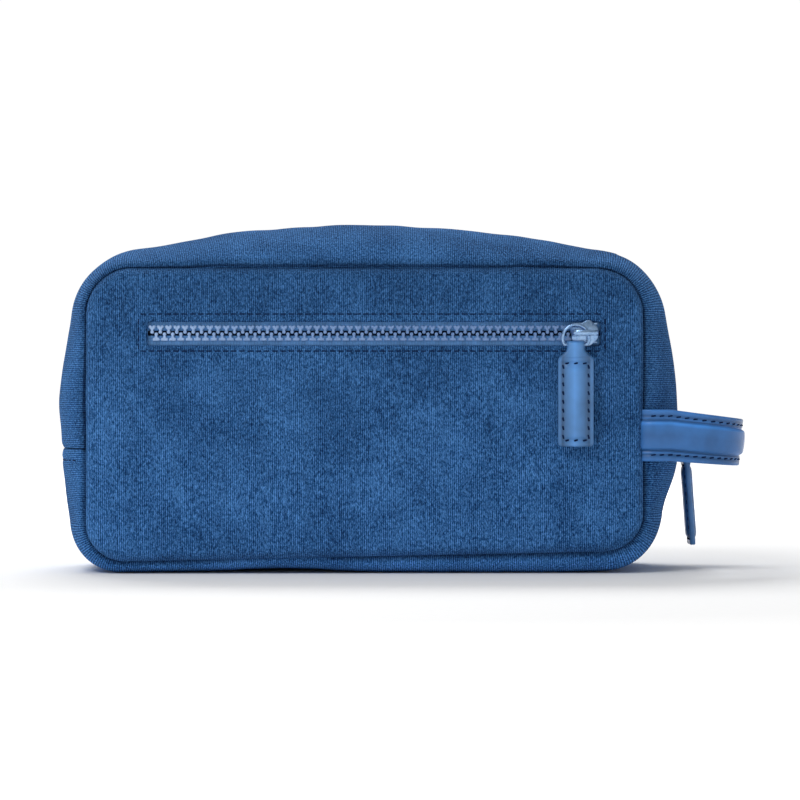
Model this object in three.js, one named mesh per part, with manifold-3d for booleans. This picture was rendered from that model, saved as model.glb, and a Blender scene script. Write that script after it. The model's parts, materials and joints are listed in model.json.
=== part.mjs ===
// A soft zippered wash pouch that stands on its base: two face panels, a two-part zip gusset that runs
// from one side over the top to the other, a base gusset, a lining, a front pocket with its own zip,
// two zip sliders with leather pulls, and a padded leather loop handle on the right-hand side.
// Millimetres. +X is the pouch's right as seen from the front, -Y is the front, +Z is up.
// The origin is on the floor under the middle of the shell; the handle is outside that middle.
import * as THREE from "three";
import { mergeVertices } from "three/addons/utils/BufferGeometryUtils.js";
import Module from "manifold-3d";

const wasm = await Module();
wasm.setup();

// ---- driving dimensions --------------------------------------------------------------------------
const SEAM_HALF_WIDTH = 111.6; // seam outline of the face panels, from the middle to each side
const SEAM_TOP = 122.4;
const SEAM_BOTTOM_LEFT = 5; // the lower seam rises a little from left to right
const SEAM_BOTTOM_RIGHT = 9;
const TOP_CORNER_R = 18;
const BOTTOM_CORNER_R = 15;
const HALF_DEPTH = 45; // from the middle plane to the gusset's seamed edge
const GUSSET_JOIN_Z = 50; // where the zip gusset is sewn to the base gusset
const FABRIC = 2; // terry with its backing
const LINING = 0.8;
const TAPE = 0.6;
const GAP = 0.3; // clearance between pieces that touch
const PANEL_FRONT = 51.3; // outer face of a panel, from the middle plane
const PANEL_EDGE = 47.3; // where the panel's rolled edge ends
const PANEL_ROLL = 8; // width of the rolled edge
const ZIP_EDGE = 4.4; // fabric edge beside the main zip's centre line
const LIP_LEFT = -81; // the straight stretch of the mouth that opens as two lips
const LIP_RIGHT = 81;

const SLOT = { left: -86.8, right: 94.4, low: 92, high: 100.6, r: 1 }; // window of the front pocket
const CHAIN_Z = (SLOT.low + SLOT.high) / 2 + 0.1; // centre line of the pocket zip
const TOOTH_PITCH = 3.3;
const TOOTH_DEPTH = 2.6;
const SLIDER_LENGTH = 10.8;
const POCKET_SLIDER_X = 88.1;
const MAIN_SLIDER_Z = 57.5;
const RING_R = 5.2;
const WIRE_R = 0.55;
const RING_FLAT = 4.4; // half the straight stretch that the leather pull hangs on
const RING_DROP = Math.sqrt(RING_R ** 2 - RING_FLAT ** 2);
const PULL_LENGTH = 40.6; // from the ring's straight stretch to the leather's lower end
const PULL_WIDTH = 14.2;
const PULL_THICK = 3.6;
const NECK_WIDTH = 7.2;
const STRAP_REACH = 153.7; // how far the handle loop stands out from the middle
const STRAP_WIDTH = 20.8;
const STRAP_WAIST = 18.8; // the loop is a little narrower at its bend
const STRAP_BEND_R = 18.5;
const STRAP_Z = 55.4;
const STRAP_DROOP = 3.2;

// Each kind of material: colour, roughness and metalness.
const kinds = {
  fabric: [0x2b5380, 0.95, 0],
  lining: [0x1d3350, 0.6, 0],
  tape: [0x476d9d, 0.85, 0],
  teeth: [0x56729a, 0.35, 0.1],
  metal: [0x6f8fb5, 0.3, 0.8],
  leather: [0x4f7aaf, 0.45, 0],
};

const pouch = new THREE.Group();

function addMesh(name, geometry, kind, parent = pouch) {
  const [color, roughness, metalness] = kinds[kind];
  const material = new THREE.MeshStandardMaterial({ color, roughness, metalness });
  const mesh = new THREE.Mesh(geometry, material);
  mesh.name = name;
  parent.add(mesh);
  return mesh;
}

// ---- solids ----------------------------------------------------------------------------------------
function toSolid(geometry) {
  const bare = new THREE.BufferGeometry().setAttribute("position", geometry.getAttribute("position").clone());
  if (geometry.index) bare.setIndex(geometry.index.clone());
  const merged = mergeVertices(bare, 1e-4);
  return new wasm.Manifold(
    new wasm.Mesh({
      numProp: 3,
      vertProperties: new Float32Array(merged.getAttribute("position").array),
      triVerts: new Uint32Array(merged.index.array),
    }),
  );
}

function toGeometry(solid) {
  const mesh = solid.getMesh();
  return new THREE.BufferGeometry()
    .setAttribute("position", new THREE.BufferAttribute(new Float32Array(mesh.vertProperties), 3))
    .setIndex(new THREE.BufferAttribute(new Uint32Array(mesh.triVerts), 1));
}

function join(geometries) {
  return toGeometry(geometries.map(toSolid).reduce((a, b) => a.add(b)));
}

function cut(geometry, ...tools) {
  return toGeometry(tools.map(toSolid).reduce((a, b) => a.subtract(b), toSolid(geometry)));
}

// A box between two corners.
function block(low, high) {
  const size = high.map((v, i) => v - low[i]);
  return new THREE.BoxGeometry(...size).translate(...low.map((v, i) => v + size[i] / 2));
}

// A closed solid between two grids of points that have the same rows and columns.
function thickSheet(outer, inner) {
  const rows = outer.length;
  const columns = outer[0].length;
  const positions = [outer, inner].flat(2).flatMap((p) => [p.x, p.y, p.z]);
  const at = (side, row, column) => (side * rows + row) * columns + column;
  const index = [];
  const quad = (a, b, c, d) => index.push(a, b, c, a, c, d);
  for (let r = 0; r + 1 < rows; r++) {
    for (let c = 0; c + 1 < columns; c++) {
      quad(at(0, r, c), at(0, r + 1, c), at(0, r + 1, c + 1), at(0, r, c + 1));
      quad(at(1, r, c), at(1, r, c + 1), at(1, r + 1, c + 1), at(1, r + 1, c));
    }
    quad(at(0, r, 0), at(1, r, 0), at(1, r + 1, 0), at(0, r + 1, 0));
    quad(at(0, r, columns - 1), at(0, r + 1, columns - 1), at(1, r + 1, columns - 1), at(1, r, columns - 1));
  }
  for (let c = 0; c + 1 < columns; c++) {
    quad(at(0, 0, c), at(0, 0, c + 1), at(1, 0, c + 1), at(1, 0, c));
    quad(at(0, rows - 1, c), at(1, rows - 1, c), at(1, rows - 1, c + 1), at(0, rows - 1, c + 1));
  }
  const geometry = new THREE.BufferGeometry();
  geometry.setAttribute("position", new THREE.Float32BufferAttribute(positions, 3));
  geometry.setIndex(facesOut(positions, index) ? index : index.reverse());
  return geometry;
}

function facesOut(positions, index) {
  const corner = (i) => new THREE.Vector3().fromArray(positions, 3 * index[i]);
  let volume = 0;
  for (let i = 0; i < index.length; i += 3) {
    volume += corner(i).dot(corner(i + 1).cross(corner(i + 2)));
  }
  return volume > 0;
}

// An outline in the front view, extruded along Y from front to back.
function frontPlate(shape, yFront, yBack, curveSegments = 5) {
  const options = { depth: yBack - yFront, bevelEnabled: false, curveSegments };
  const plate = new THREE.ExtrudeGeometry(shape, options);
  return plate.rotateX(Math.PI / 2).translate(0, yBack, 0);
}

function roundedBox(left, right, low, high, r) {
  const shape = new THREE.Shape();
  shape.absarc(right - r, high - r, r, Math.PI / 2, 0, true);
  shape.absarc(right - r, low + r, r, 0, -Math.PI / 2, true);
  shape.absarc(left + r, low + r, r, -Math.PI / 2, -Math.PI, true);
  shape.absarc(left + r, high - r, r, Math.PI, Math.PI / 2, true);
  return shape;
}

// ---- the pouch's soft shell ------------------------------------------------------------------------
// A station is a place on the seam outline with its outward normal, and what the gusset does there:
// how far it bulges out, how wide its flat middle is (as a share of the half depth), and the power of
// its rounding (a higher power is squarer).
const ZIP_FLAT = [0.1, 0.1];
const ZIP_POWER = [2.2, 2.2];

// Stations along a straight run or a corner. Bulges, flats and powers are given at even steps of the run.
function run(steps, place, bulges, flats = ZIP_FLAT, powers = ZIP_POWER) {
  const valueAt = (list, u) => {
    const s = u * (list.length - 1);
    const i = Math.min(Math.floor(s), list.length - 2);
    return THREE.MathUtils.lerp(list[i], list[i + 1], s - i);
  };
  return Array.from({ length: steps + 1 }, (_, k) => {
    const u = k / steps;
    const [x, z, nx, nz] = place(u);
    return { x, z, nx, nz, bulge: valueAt(bulges, u), flat: valueAt(flats, u), power: valueAt(powers, u) };
  });
}

const lineRun = (x0, z0, x1, z1, nx, nz) => (u) => [
  THREE.MathUtils.lerp(x0, x1, u),
  THREE.MathUtils.lerp(z0, z1, u),
  nx,
  nz,
];
const arcRun = (cx, cz, r, from, to) => (u) => {
  const angle = THREE.MathUtils.degToRad(THREE.MathUtils.lerp(from, to, u));
  return [cx + r * Math.cos(angle), cz + r * Math.sin(angle), Math.cos(angle), Math.sin(angle)];
};

const W = SEAM_HALF_WIDTH;
const topCornerX = W - TOP_CORNER_R;
const topCornerZ = SEAM_TOP - TOP_CORNER_R;
const CORNER_STEPS = 6;

// The zip gusset's stations, from the left-hand join over the top to the right-hand join.
const leftSide = [
  ...run(4, lineRun(-W, GUSSET_JOIN_Z, -W, topCornerZ, -1, 0), [13.6, 15.2, 12.8, 9.5]),
  ...run(CORNER_STEPS, arcRun(-topCornerX, topCornerZ, TOP_CORNER_R, 180, 90), [9.5, 8.2, 9.1]).slice(1),
];
const rightSide = [
  ...run(CORNER_STEPS, arcRun(topCornerX, topCornerZ, TOP_CORNER_R, 90, 0), [9.1, 10.2, 13.4]),
  ...run(4, lineRun(W, topCornerZ, W, GUSSET_JOIN_Z, 1, 0), [13.4, 17.3]).slice(1),
];

// Height of the stuffed top above the seam: a dome that is highest a little left of the middle.
function domeBulge(x) {
  const highest = 19.6;
  const lowest = 9.1;
  const peak = -1.5;
  const reach = x < peak ? topCornerX + peak : topCornerX - peak;
  const share = Math.min(1, Math.abs(x - peak) / reach);
  return lowest + (highest - lowest) * (1 - share ** 1.9);
}

function topRun(x0, x1, steps) {
  const stations = run(steps, lineRun(x0, SEAM_TOP, x1, SEAM_TOP, 0, 1), [0, 0]);
  return stations.map((s) => ({ ...s, bulge: domeBulge(s.x) }));
}

const zipStations = {
  left: [...leftSide, ...topRun(-topCornerX, LIP_LEFT - GAP, 1).slice(1)],
  lip: topRun(LIP_LEFT, LIP_RIGHT, 8),
  right: [...topRun(LIP_RIGHT + GAP, topCornerX, 1), ...rightSide.slice(1)],
};

const bottomCornerX = W - BOTTOM_CORNER_R;
const baseFlat = 0.7;

// The base gusset's stations, from the right-hand join under the base to the left-hand join.
const baseStations = [
  ...run(
    2,
    lineRun(W, GUSSET_JOIN_Z - GAP, W, SEAM_BOTTOM_RIGHT + BOTTOM_CORNER_R, 1, 0),
    [17.3, 12],
    [0.1, 0.2],
    [2.2, 2.6],
  ),
  ...run(
    CORNER_STEPS,
    arcRun(bottomCornerX, SEAM_BOTTOM_RIGHT + BOTTOM_CORNER_R, BOTTOM_CORNER_R, 0, -90),
    [12, 10.5, SEAM_BOTTOM_RIGHT],
    [0.2, 0.45, baseFlat],
    [2.6, 3, 3],
  ).slice(1),
  ...run(
    4,
    lineRun(bottomCornerX, SEAM_BOTTOM_RIGHT, -bottomCornerX, SEAM_BOTTOM_LEFT, 0, -1),
    [SEAM_BOTTOM_RIGHT, SEAM_BOTTOM_LEFT],
    [baseFlat, baseFlat],
    [3, 3],
  ).slice(1),
  ...run(
    CORNER_STEPS,
    arcRun(-bottomCornerX, SEAM_BOTTOM_LEFT + BOTTOM_CORNER_R, BOTTOM_CORNER_R, -90, -180),
    [SEAM_BOTTOM_LEFT, 7.5, 9.7],
    [baseFlat, 0.45, 0.2],
    [3, 3, 2.6],
  ).slice(1),
  ...run(
    2,
    lineRun(-W, SEAM_BOTTOM_LEFT + BOTTOM_CORNER_R, -W, GUSSET_JOIN_Z - GAP, -1, 0),
    [9.7, 13.6],
    [0.2, 0.1],
    [2.6, 2.2],
  ).slice(1),
];

// A point of the gusset: t runs from -1 at the front seam to +1 at the rear seam, and inset is the
// depth below the outer surface.
function shellPoint(s, t, inset) {
  const share = Math.max(0, (Math.abs(t) - s.flat) / (1 - s.flat));
  const outward = s.bulge * Math.sqrt(1 - share ** s.power) - inset;
  const y = t * (HALF_DEPTH - 0.75 * inset);
  return new THREE.Vector3(s.x + s.nx * outward, y, s.z + s.nz * outward);
}

function shellSheet(stations, steps, inset, thickness) {
  const grid = (depth) => stations.map((s) => steps.map((t) => shellPoint(s, t, depth)));
  return thickSheet(grid(inset), grid(inset + thickness));
}

const ZIP_T = ZIP_EDGE / HALF_DEPTH;
const TAPE_T = 0.27;
const gussetSteps = [-1, -0.97, -0.88, -0.7, -0.45, -TAPE_T, -ZIP_T];
const liningSteps = [-0.97, -0.7, -TAPE_T, -0.125];
const tapeSteps = [-TAPE_T, -3.25 / HALF_DEPTH];
const tapeInset = FABRIC + GAP;
const liningInset = tapeInset + TAPE + 0.4;
const mirror = (steps) => steps.map((t) => -t).reverse();
const bothSides = (steps) => [...steps, ...mirror(steps)];

// Main zip: straight bars stand for the rows of teeth, because the rows turn round two corners.
function barAlong(stations, yNear, yFar) {
  const top = tapeInset + (TAPE - TOOTH_DEPTH) / 2;
  const steps = [yNear, yFar].map((y) => y / HALF_DEPTH);
  const level = (s, depth) => steps.map((t) => shellPoint(s, t, depth).setY(t * HALF_DEPTH));
  const grid = (depth) => stations.map((s) => level(s, depth));
  return thickSheet(grid(top), grid(top + TOOTH_DEPTH));
}

const TEETH_LOW = 56; // the right-hand rows end above this height, clear of their end stop

function addZipGusset() {
  for (const [side, name] of [[-1, "front"], [1, "rear"]]) {
    const sheet = (stations, steps, inset, thickness) =>
      shellSheet(stations, side < 0 ? steps : mirror(steps), inset, thickness);
    for (const [place, stations] of Object.entries(zipStations)) {
      addMesh(`${name}_gusset_${place}`, sheet(stations, gussetSteps, 0, FABRIC), "fabric");
      addMesh(`${name}_lining_${place}`, sheet(stations, liningSteps, liningInset, LINING), "lining");
      addMesh(`${name}_tape_${place}`, sheet(stations, tapeSteps, tapeInset, TAPE), "tape");
      const row = place === "left" ? leftRow(stations) : stations.filter((s) => s.z > TEETH_LOW);
      addMesh(`${name}_teeth_${place}`, barAlong(row, side * 2.95, side * 0.2), "teeth");
    }
  }
  const leftStop = sideStations(leftSide, 52, 54.5);
  const rightStop = sideStations([...rightSide].reverse(), 50.2, 51.5);
  addMesh("main_zip_stop_left", barAlong(leftStop, -2.9, 2.9), "teeth");
  addMesh("main_zip_stop_right", barAlong(rightStop, -2.9, 2.9), "teeth");
}

// The left-hand rows of teeth reach down to just above their end stop.
function leftRow(stations) {
  return [...sideStations(stations, 55, 60).slice(0, 1), ...stations.slice(1)];
}

// Two stations at the given heights on the straight side run that starts a list of stations.
function sideStations(side, low, high) {
  const [a, b] = side;
  return [low, high].map((z) => {
    const u = (z - a.z) / (b.z - a.z);
    return { ...a, z, bulge: THREE.MathUtils.lerp(a.bulge, b.bulge, u) };
  });
}

function addBase() {
  const steps = bothSides([-1, -0.97, -0.88, -baseFlat, -0.35]);
  addMesh("base_gusset", shellSheet(baseStations, steps, 0, FABRIC), "fabric");
  const inside = bothSides([-0.97, -baseFlat, -0.35]);
  addMesh("base_lining", shellSheet(baseStations, inside, liningInset, LINING), "lining");
}

// The seam outline in the front view, moved inwards by inset.
function seamShape(inset) {
  const w = W - inset;
  const top = TOP_CORNER_R - inset;
  const low = BOTTOM_CORNER_R - inset;
  const shape = new THREE.Shape();
  shape.absarc(topCornerX, topCornerZ, top, Math.PI / 2, 0, true);
  shape.absarc(w - low, SEAM_BOTTOM_RIGHT + BOTTOM_CORNER_R, low, 0, -Math.PI / 2, true);
  shape.absarc(-w + low, SEAM_BOTTOM_LEFT + BOTTOM_CORNER_R, low, -Math.PI / 2, -Math.PI, true);
  shape.absarc(-topCornerX, topCornerZ, top, Math.PI, Math.PI / 2, true);
  return shape;
}

// A face panel: a shallow dish with a flat middle and a rolled edge, open towards the inside.
// It is made as the front one, with its face towards -Y.
function panelDish() {
  const rollHeight = PANEL_FRONT - PANEL_EDGE;
  const rimBack = HALF_DEPTH + GAP;
  const solid = (inset, roll, height, y) => {
    const slab = new THREE.ExtrudeGeometry(seamShape(inset + roll), {
      depth: PANEL_EDGE - rimBack + (inset ? 4 : 0),
      bevelEnabled: true,
      bevelThickness: height,
      bevelSize: roll,
      bevelSegments: 3,
      curveSegments: 5,
    });
    return slab.rotateX(Math.PI / 2).translate(0, y, 0);
  };
  // The extrusion has a rolled edge at both ends: only the front half of each is kept.
  const outer = solid(0, PANEL_ROLL, rollHeight, -rimBack);
  const inner = solid(FABRIC, PANEL_ROLL - FABRIC / 2, rollHeight, -rimBack + 4 + FABRIC);
  return cut(outer, inner, block([-200, -rimBack, -50], [200, 50, 200]));
}

function addPanels() {
  const slot = frontPlate(roundedBox(SLOT.left, SLOT.right, SLOT.low, SLOT.high, SLOT.r), -60, -30, 3);
  const dish = panelDish();
  addMesh("front_panel", cut(dish, slot), "fabric");
  addMesh("rear_panel", toGeometry(toSolid(dish).mirror([0, 1, 0])), "fabric");
  const liningFront = HALF_DEPTH - 2;
  const linerAt = (y) => frontPlate(seamShape(4.6), y, y + LINING);
  addMesh("front_panel_lining", linerAt(-liningFront), "lining");
  addMesh("rear_panel_lining", linerAt(liningFront - LINING), "lining");
}

// ---- front pocket ------------------------------------------------------------------------------------
const fabricFace = -PANEL_FRONT; // y of the panel's outer face
const tapeFront = fabricFace + tapeInset;
const teethFront = fabricFace + tapeInset + (TAPE - TOOTH_DEPTH) / 2;
const CHAIN_LEFT = SLOT.left + 0.4;
const CHAIN_RIGHT = 90.4;

// One row of teeth with the cord that holds them: a comb whose teeth pass between the other row's.
function toothComb(up) {
  const tip = -1.1; // how far a tooth reaches past the centre line
  const neck = 1.7;
  const back = 2.95;
  const half = TOOTH_PITCH / 4 - 0.15;
  const shape = new THREE.Shape();
  const sign = up ? 1 : -1;
  shape.moveTo(CHAIN_LEFT, CHAIN_Z + sign * back);
  shape.lineTo(CHAIN_LEFT, CHAIN_Z + sign * neck);
  const first = CHAIN_LEFT + (up ? TOOTH_PITCH / 4 : (3 * TOOTH_PITCH) / 4);
  for (let x = first; x + half < CHAIN_RIGHT; x += TOOTH_PITCH) {
    shape.lineTo(x - half, CHAIN_Z + sign * neck);
    shape.lineTo(x - half, CHAIN_Z + sign * tip);
    shape.lineTo(x + half, CHAIN_Z + sign * tip);
    shape.lineTo(x + half, CHAIN_Z + sign * neck);
  }
  shape.lineTo(CHAIN_RIGHT, CHAIN_Z + sign * neck);
  shape.lineTo(CHAIN_RIGHT, CHAIN_Z + sign * back);
  return frontPlate(shape, teethFront, teethFront + TOOTH_DEPTH);
}

function addPocket() {
  const tapeEnds = [SLOT.left - 11, SLOT.right + 8];
  const tape = (low, high) => block([tapeEnds[0], tapeFront, low], [tapeEnds[1], tapeFront + TAPE, high]);
  addMesh("pocket_tape_upper", tape(CHAIN_Z + 3.25, CHAIN_Z + 13), "tape");
  addMesh("pocket_tape_lower", tape(CHAIN_Z - 13, CHAIN_Z - 3.25), "tape");
  addMesh("pocket_teeth_upper", toothComb(true), "teeth");
  addMesh("pocket_teeth_lower", toothComb(false), "teeth");
  const stop = (x) => block([x, tapeFront, CHAIN_Z - 2.9], [x + 2, teethFront + TOOTH_DEPTH, CHAIN_Z + 2.9]);
  addMesh("pocket_zip_stop_left", stop(CHAIN_LEFT - 2.6), "teeth");
  addMesh("pocket_zip_stop_right", stop(SLOT.right + 1.2), "teeth");
  const bagSheet = (y, top) => block([SLOT.left - 11, y, 20], [SLOT.right - 2, y + TAPE, top]);
  addMesh("pocket_bag_front", bagSheet(-46.9, CHAIN_Z - 10.4), "lining");
  addMesh("pocket_bag_back", bagSheet(-44.4, CHAIN_Z + 15), "lining");
}

// ---- sliders and pulls -------------------------------------------------------------------------------
// A slider in its own frame: X along the zip towards its open end, Y across, Z out of the fabric,
// with Z = 0 on the fabric's outer face.
const TUNNEL = [1.6, 5.2]; // the space under the bridge that the ring passes through
const RING_OUT = 3.95; // where the ring lies in the tunnel
const BRIDGE_TOP = 6.4;

function sliderGeometry() {
  const half = SLIDER_LENGTH / 2;
  const wing = [[-half, 3.9], [0, 4.6], [3.2, 5.2], [half, 3.4]];
  const outline = [...wing, ...wing.map(([x, y]) => [x, -y]).reverse()];
  const shield = new THREE.Shape(outline.map(([x, y]) => new THREE.Vector2(x, y)));
  const top = new THREE.ExtrudeGeometry(shield, { depth: 1.2, bevelEnabled: false }).translate(0, 0, 0.4);
  const flangeIn = 3.35;
  const flangeOut = 4.05;
  const flanges = [-1, 1].flatMap((side) => {
    const ys = [side * flangeIn, side * flangeOut].sort((a, b) => a - b);
    return [
      block([-half + 0.2, ys[0], -1.9], [half - 0.2, ys[1], 0.5]),
      block([-half + 0.2, ys[0], -4.8], [half - 0.2, ys[1], -3.3]),
    ];
  });
  const bottom = block([-half, -flangeOut, -5.9], [half, flangeOut, -4.7]);
  const post = block([2, -0.8, -4.8], [4.4, 0.8, 0.5]);
  const bridge = cut(
    block([-half, -0.8, 1.5], [half, 0.8, BRIDGE_TOP]),
    block([-half + 1.6, -2, TUNNEL[0]], [half - 1.6, 2, TUNNEL[1]]),
  );
  return join([top, bottom, post, bridge, ...flanges]);
}

// A round wire ring with one straight stretch, in the XY plane with its straight stretch towards -Y.
function ringGeometry() {
  const from = Math.asin(-RING_DROP / RING_R);
  const arcPoints = [];
  const arcSteps = 20;
  for (let i = 0; i <= arcSteps; i++) {
    const angle = from + ((Math.PI - 2 * from) * i) / arcSteps;
    arcPoints.push(new THREE.Vector3(RING_R * Math.cos(angle), RING_R * Math.sin(angle), 0));
  }
  const straight = [-0.6, 0, 0.6].map((u) => new THREE.Vector3(u * RING_FLAT, -RING_DROP, 0));
  const loop = new THREE.CatmullRomCurve3([...arcPoints, ...straight], true, "catmullrom", 0.4);
  return new THREE.TubeGeometry(loop, 32, WIRE_R, 6, true);
}

// A leather strip folded over the ring, in its own frame: the origin is on the ring's straight stretch,
// Y is down its length and Z is towards the viewer.
function pullGeometry() {
  const top = 1.4;
  const shoulder = -6.2;
  const neckEnd = -1.8;
  const r = 1.6;
  const half = PULL_WIDTH / 2;
  const shape = new THREE.Shape();
  shape.moveTo(NECK_WIDTH / 2, top);
  shape.lineTo(NECK_WIDTH / 2, neckEnd);
  shape.lineTo(half, shoulder);
  shape.absarc(half - r, -PULL_LENGTH + r, r, 0, -Math.PI / 2, true);
  shape.absarc(-half + r, -PULL_LENGTH + r, r, -Math.PI / 2, -Math.PI, true);
  shape.lineTo(-half, shoulder);
  shape.lineTo(-NECK_WIDTH / 2, neckEnd);
  shape.lineTo(-NECK_WIDTH / 2, top);
  const options = { depth: PULL_THICK, bevelEnabled: false, curveSegments: 3 };
  const body = new THREE.ExtrudeGeometry(shape, options);
  body.translate(0, 0, -PULL_THICK / 2);
  const eye = block([-10, -1, -0.9], [10, 0.85, 0.9]);
  const fold = block([-10, -PULL_LENGTH - 1, -0.7], [10, 0, 0.7]);
  return cut(body, eye, fold);
}

// The filler between the two plies of a pull.
function pullPadGeometry() {
  const half = PULL_WIDTH / 2 - 2.6;
  return block([-half, -PULL_LENGTH + 3, -0.4], [half, -7, 0.4]);
}

// Adds a slider, its ring and its leather pull. frame is a group that holds the slider's own frame, and
// ringTurn turns the ring and the pull in the plane of the fabric.
function addPullSet(prefix, frame, ringX, ringY, ringTurn) {
  addMesh(`${prefix}_slider`, sliderGeometry(), "metal", frame);
  const ring = new THREE.Group();
  ring.position.set(ringX, ringY, RING_OUT);
  ring.rotation.z = ringTurn;
  frame.add(ring);
  addMesh(`${prefix}_pull_ring`, ringGeometry(), "metal", ring);
  const pull = new THREE.Group();
  pull.position.set(0, -RING_DROP, 0);
  ring.add(pull);
  addMesh(`${prefix}_pull_leather`, pullGeometry(), "leather", pull);
  addMesh(`${prefix}_pull_filler`, pullPadGeometry(), "leather", pull);
}

function addPocketSlider() {
  const frame = new THREE.Group();
  frame.position.set(POCKET_SLIDER_X, fabricFace, CHAIN_Z);
  frame.rotation.x = Math.PI / 2; // the slider's Z points to the front
  pouch.add(frame);
  addPullSet("pocket", frame, -3.8, -2, 0);
}

// The main slider is parked at the right-hand end of its track, which leans inwards as it rises.
function addMainSlider() {
  const [high, low] = [rightSide[CORNER_STEPS], rightSide[rightSide.length - 1]];
  const lean = Math.atan2(low.bulge - high.bulge, high.z - low.z);
  const u = (MAIN_SLIDER_Z - low.z) / (high.z - low.z);
  const x = W + THREE.MathUtils.lerp(low.bulge, high.bulge, u);
  const frame = new THREE.Group();
  const along = new THREE.Vector3(Math.sin(lean), 0, -Math.cos(lean));
  const out = new THREE.Vector3(Math.cos(lean), 0, Math.sin(lean));
  const across = new THREE.Vector3().crossVectors(out, along);
  frame.quaternion.setFromRotationMatrix(new THREE.Matrix4().makeBasis(along, across, out));
  frame.position.set(x, 0, MAIN_SLIDER_Z);
  pouch.add(frame);
  addPullSet("main", frame, RING_R - 0.1, 0, Math.PI / 2);
}

// ---- loop handle ---------------------------------------------------------------------------------------
// The loop's middle line in plan, from the front seam round to the rear seam. Each place is
// [x, y, outward x, outward y].
function strapLine() {
  const arm = HALF_DEPTH + 2.5;
  const reach = STRAP_REACH - 1.85;
  const bendX = reach - STRAP_BEND_R;
  const bendY = arm - STRAP_BEND_R;
  const start = W + 0.6;
  const front = [];
  const roundEnd = [0.02, 0.12, 0.3, 0.55, 1];
  roundEnd.forEach((u) => front.push([start + (u * STRAP_WIDTH) / 2, -arm, 0, -1]));
  for (let i = 0; i <= 6; i++) {
    const angle = (Math.PI / 2) * (i / 6 - 1);
    const [c, s] = [Math.cos(angle), Math.sin(angle)];
    front.push([bendX + STRAP_BEND_R * c, -bendY + STRAP_BEND_R * s, c, s]);
  }
  const rear = [...front].reverse().map(([x, y, nx, ny]) => [x, -y, nx, -ny]);
  return [...front, [reach, 0, 1, 0], ...rear];
}

// A layer of the loop between two depths from its middle line. edge is how far it stops short of the
// loop's edges. The sewn ends are half round, so that the loop can tilt beside the seam.
function strapLayer(inside, outside, edge) {
  const pivotX = W + 0.6 + STRAP_WIDTH / 2;
  const rows = (offset) =>
    strapLine().map(([x, y, nx, ny]) => {
      const out = THREE.MathUtils.clamp((x - pivotX) / (STRAP_REACH - pivotX), 0, 1);
      const full = THREE.MathUtils.lerp(STRAP_WIDTH, STRAP_WAIST, out) / 2;
      const half = x < pivotX ? Math.sqrt(Math.max(0, full ** 2 - (pivotX - x) ** 2)) : full;
      const middle = STRAP_Z - STRAP_DROOP * out;
      const reach = Math.max(half - edge, 0.4);
      const at = (z) => new THREE.Vector3(x + nx * offset, y + ny * offset, z);
      return [at(middle - reach), at(middle + reach)];
    });
  return thickSheet(rows(outside), rows(inside));
}

function addHandle() {
  addMesh("handle_outer_leather", strapLayer(0.75, 1.85, 0), "leather");
  addMesh("handle_filler", strapLayer(-0.45, 0.45, 4.4), "leather");
  addMesh("handle_inner_leather", strapLayer(-1.85, -0.75, 0), "leather");
}

addPanels();
addZipGusset();
addBase();
addPocket();
addPocketSlider();
addMainSlider();
addHandle();

export default pouch;
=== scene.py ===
import json
import math
from contextlib import contextmanager

import bmesh
import bpy
import numpy as np
from mathutils import Matrix, Vector, noise
from mathutils.geometry import delaunay_2d_cdt


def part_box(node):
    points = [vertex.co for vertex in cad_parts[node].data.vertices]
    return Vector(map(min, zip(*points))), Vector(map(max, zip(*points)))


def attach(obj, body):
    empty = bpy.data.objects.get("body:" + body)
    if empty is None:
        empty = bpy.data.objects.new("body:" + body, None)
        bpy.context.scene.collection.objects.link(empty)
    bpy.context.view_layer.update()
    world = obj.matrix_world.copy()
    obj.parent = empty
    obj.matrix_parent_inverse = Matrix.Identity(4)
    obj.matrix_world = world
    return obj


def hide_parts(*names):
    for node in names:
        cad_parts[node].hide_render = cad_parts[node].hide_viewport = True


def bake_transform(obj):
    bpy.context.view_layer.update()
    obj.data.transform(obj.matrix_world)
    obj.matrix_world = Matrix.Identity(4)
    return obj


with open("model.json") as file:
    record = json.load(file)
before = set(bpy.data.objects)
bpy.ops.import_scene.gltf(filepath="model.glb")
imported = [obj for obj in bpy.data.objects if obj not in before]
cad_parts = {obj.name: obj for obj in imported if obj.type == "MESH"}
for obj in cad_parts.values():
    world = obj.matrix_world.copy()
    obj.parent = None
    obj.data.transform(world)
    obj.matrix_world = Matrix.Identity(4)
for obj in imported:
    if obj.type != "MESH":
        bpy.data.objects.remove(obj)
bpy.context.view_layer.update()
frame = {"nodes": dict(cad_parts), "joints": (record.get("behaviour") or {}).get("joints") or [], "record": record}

# Geometry is worked out in millimetres and scaled once, when a mesh is made.
MM = 0.001


def box_mm(node):
    low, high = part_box(node)
    return low / MM, high / MM


# ---- sizes, read from the frame where it has them ----
panel_low, panel_high = box_mm("front_panel")
lip_low, lip_high = box_mm("front_gusset_lip")
SEAM_W = panel_high.x
SEAM_TOP = panel_high.z
FACE = -panel_low.y  # the panels' outer faces, from the middle plane
HALF = -lip_low.y  # the gussets' seamed edges
JOIN_Z = box_mm("front_gusset_left")[0].z
TOP_R = 18.0
LOW_R = 15.0
SEAM_LOW_LEFT = panel_low.z
SEAM_LOW_RIGHT = 9.0
ZIP_EDGE = 4.4
SEAM_Y = 43.8  # the stitched groove between a face panel and the gussets
FABRIC = 1.6
STEP = 1.5  # spacing of the fine meshes

chain_low, chain_high = box_mm("pocket_teeth_lower")[0], box_mm("pocket_teeth_upper")[1]
CHAIN_Z = (chain_low.z + chain_high.z) / 2
CHAIN_X = (chain_low.x, chain_high.x)
SLOT = (-86.9, 94.4, 91.4, 100.9)  # left, right, low, high
SLOT_R = 1.2
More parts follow.
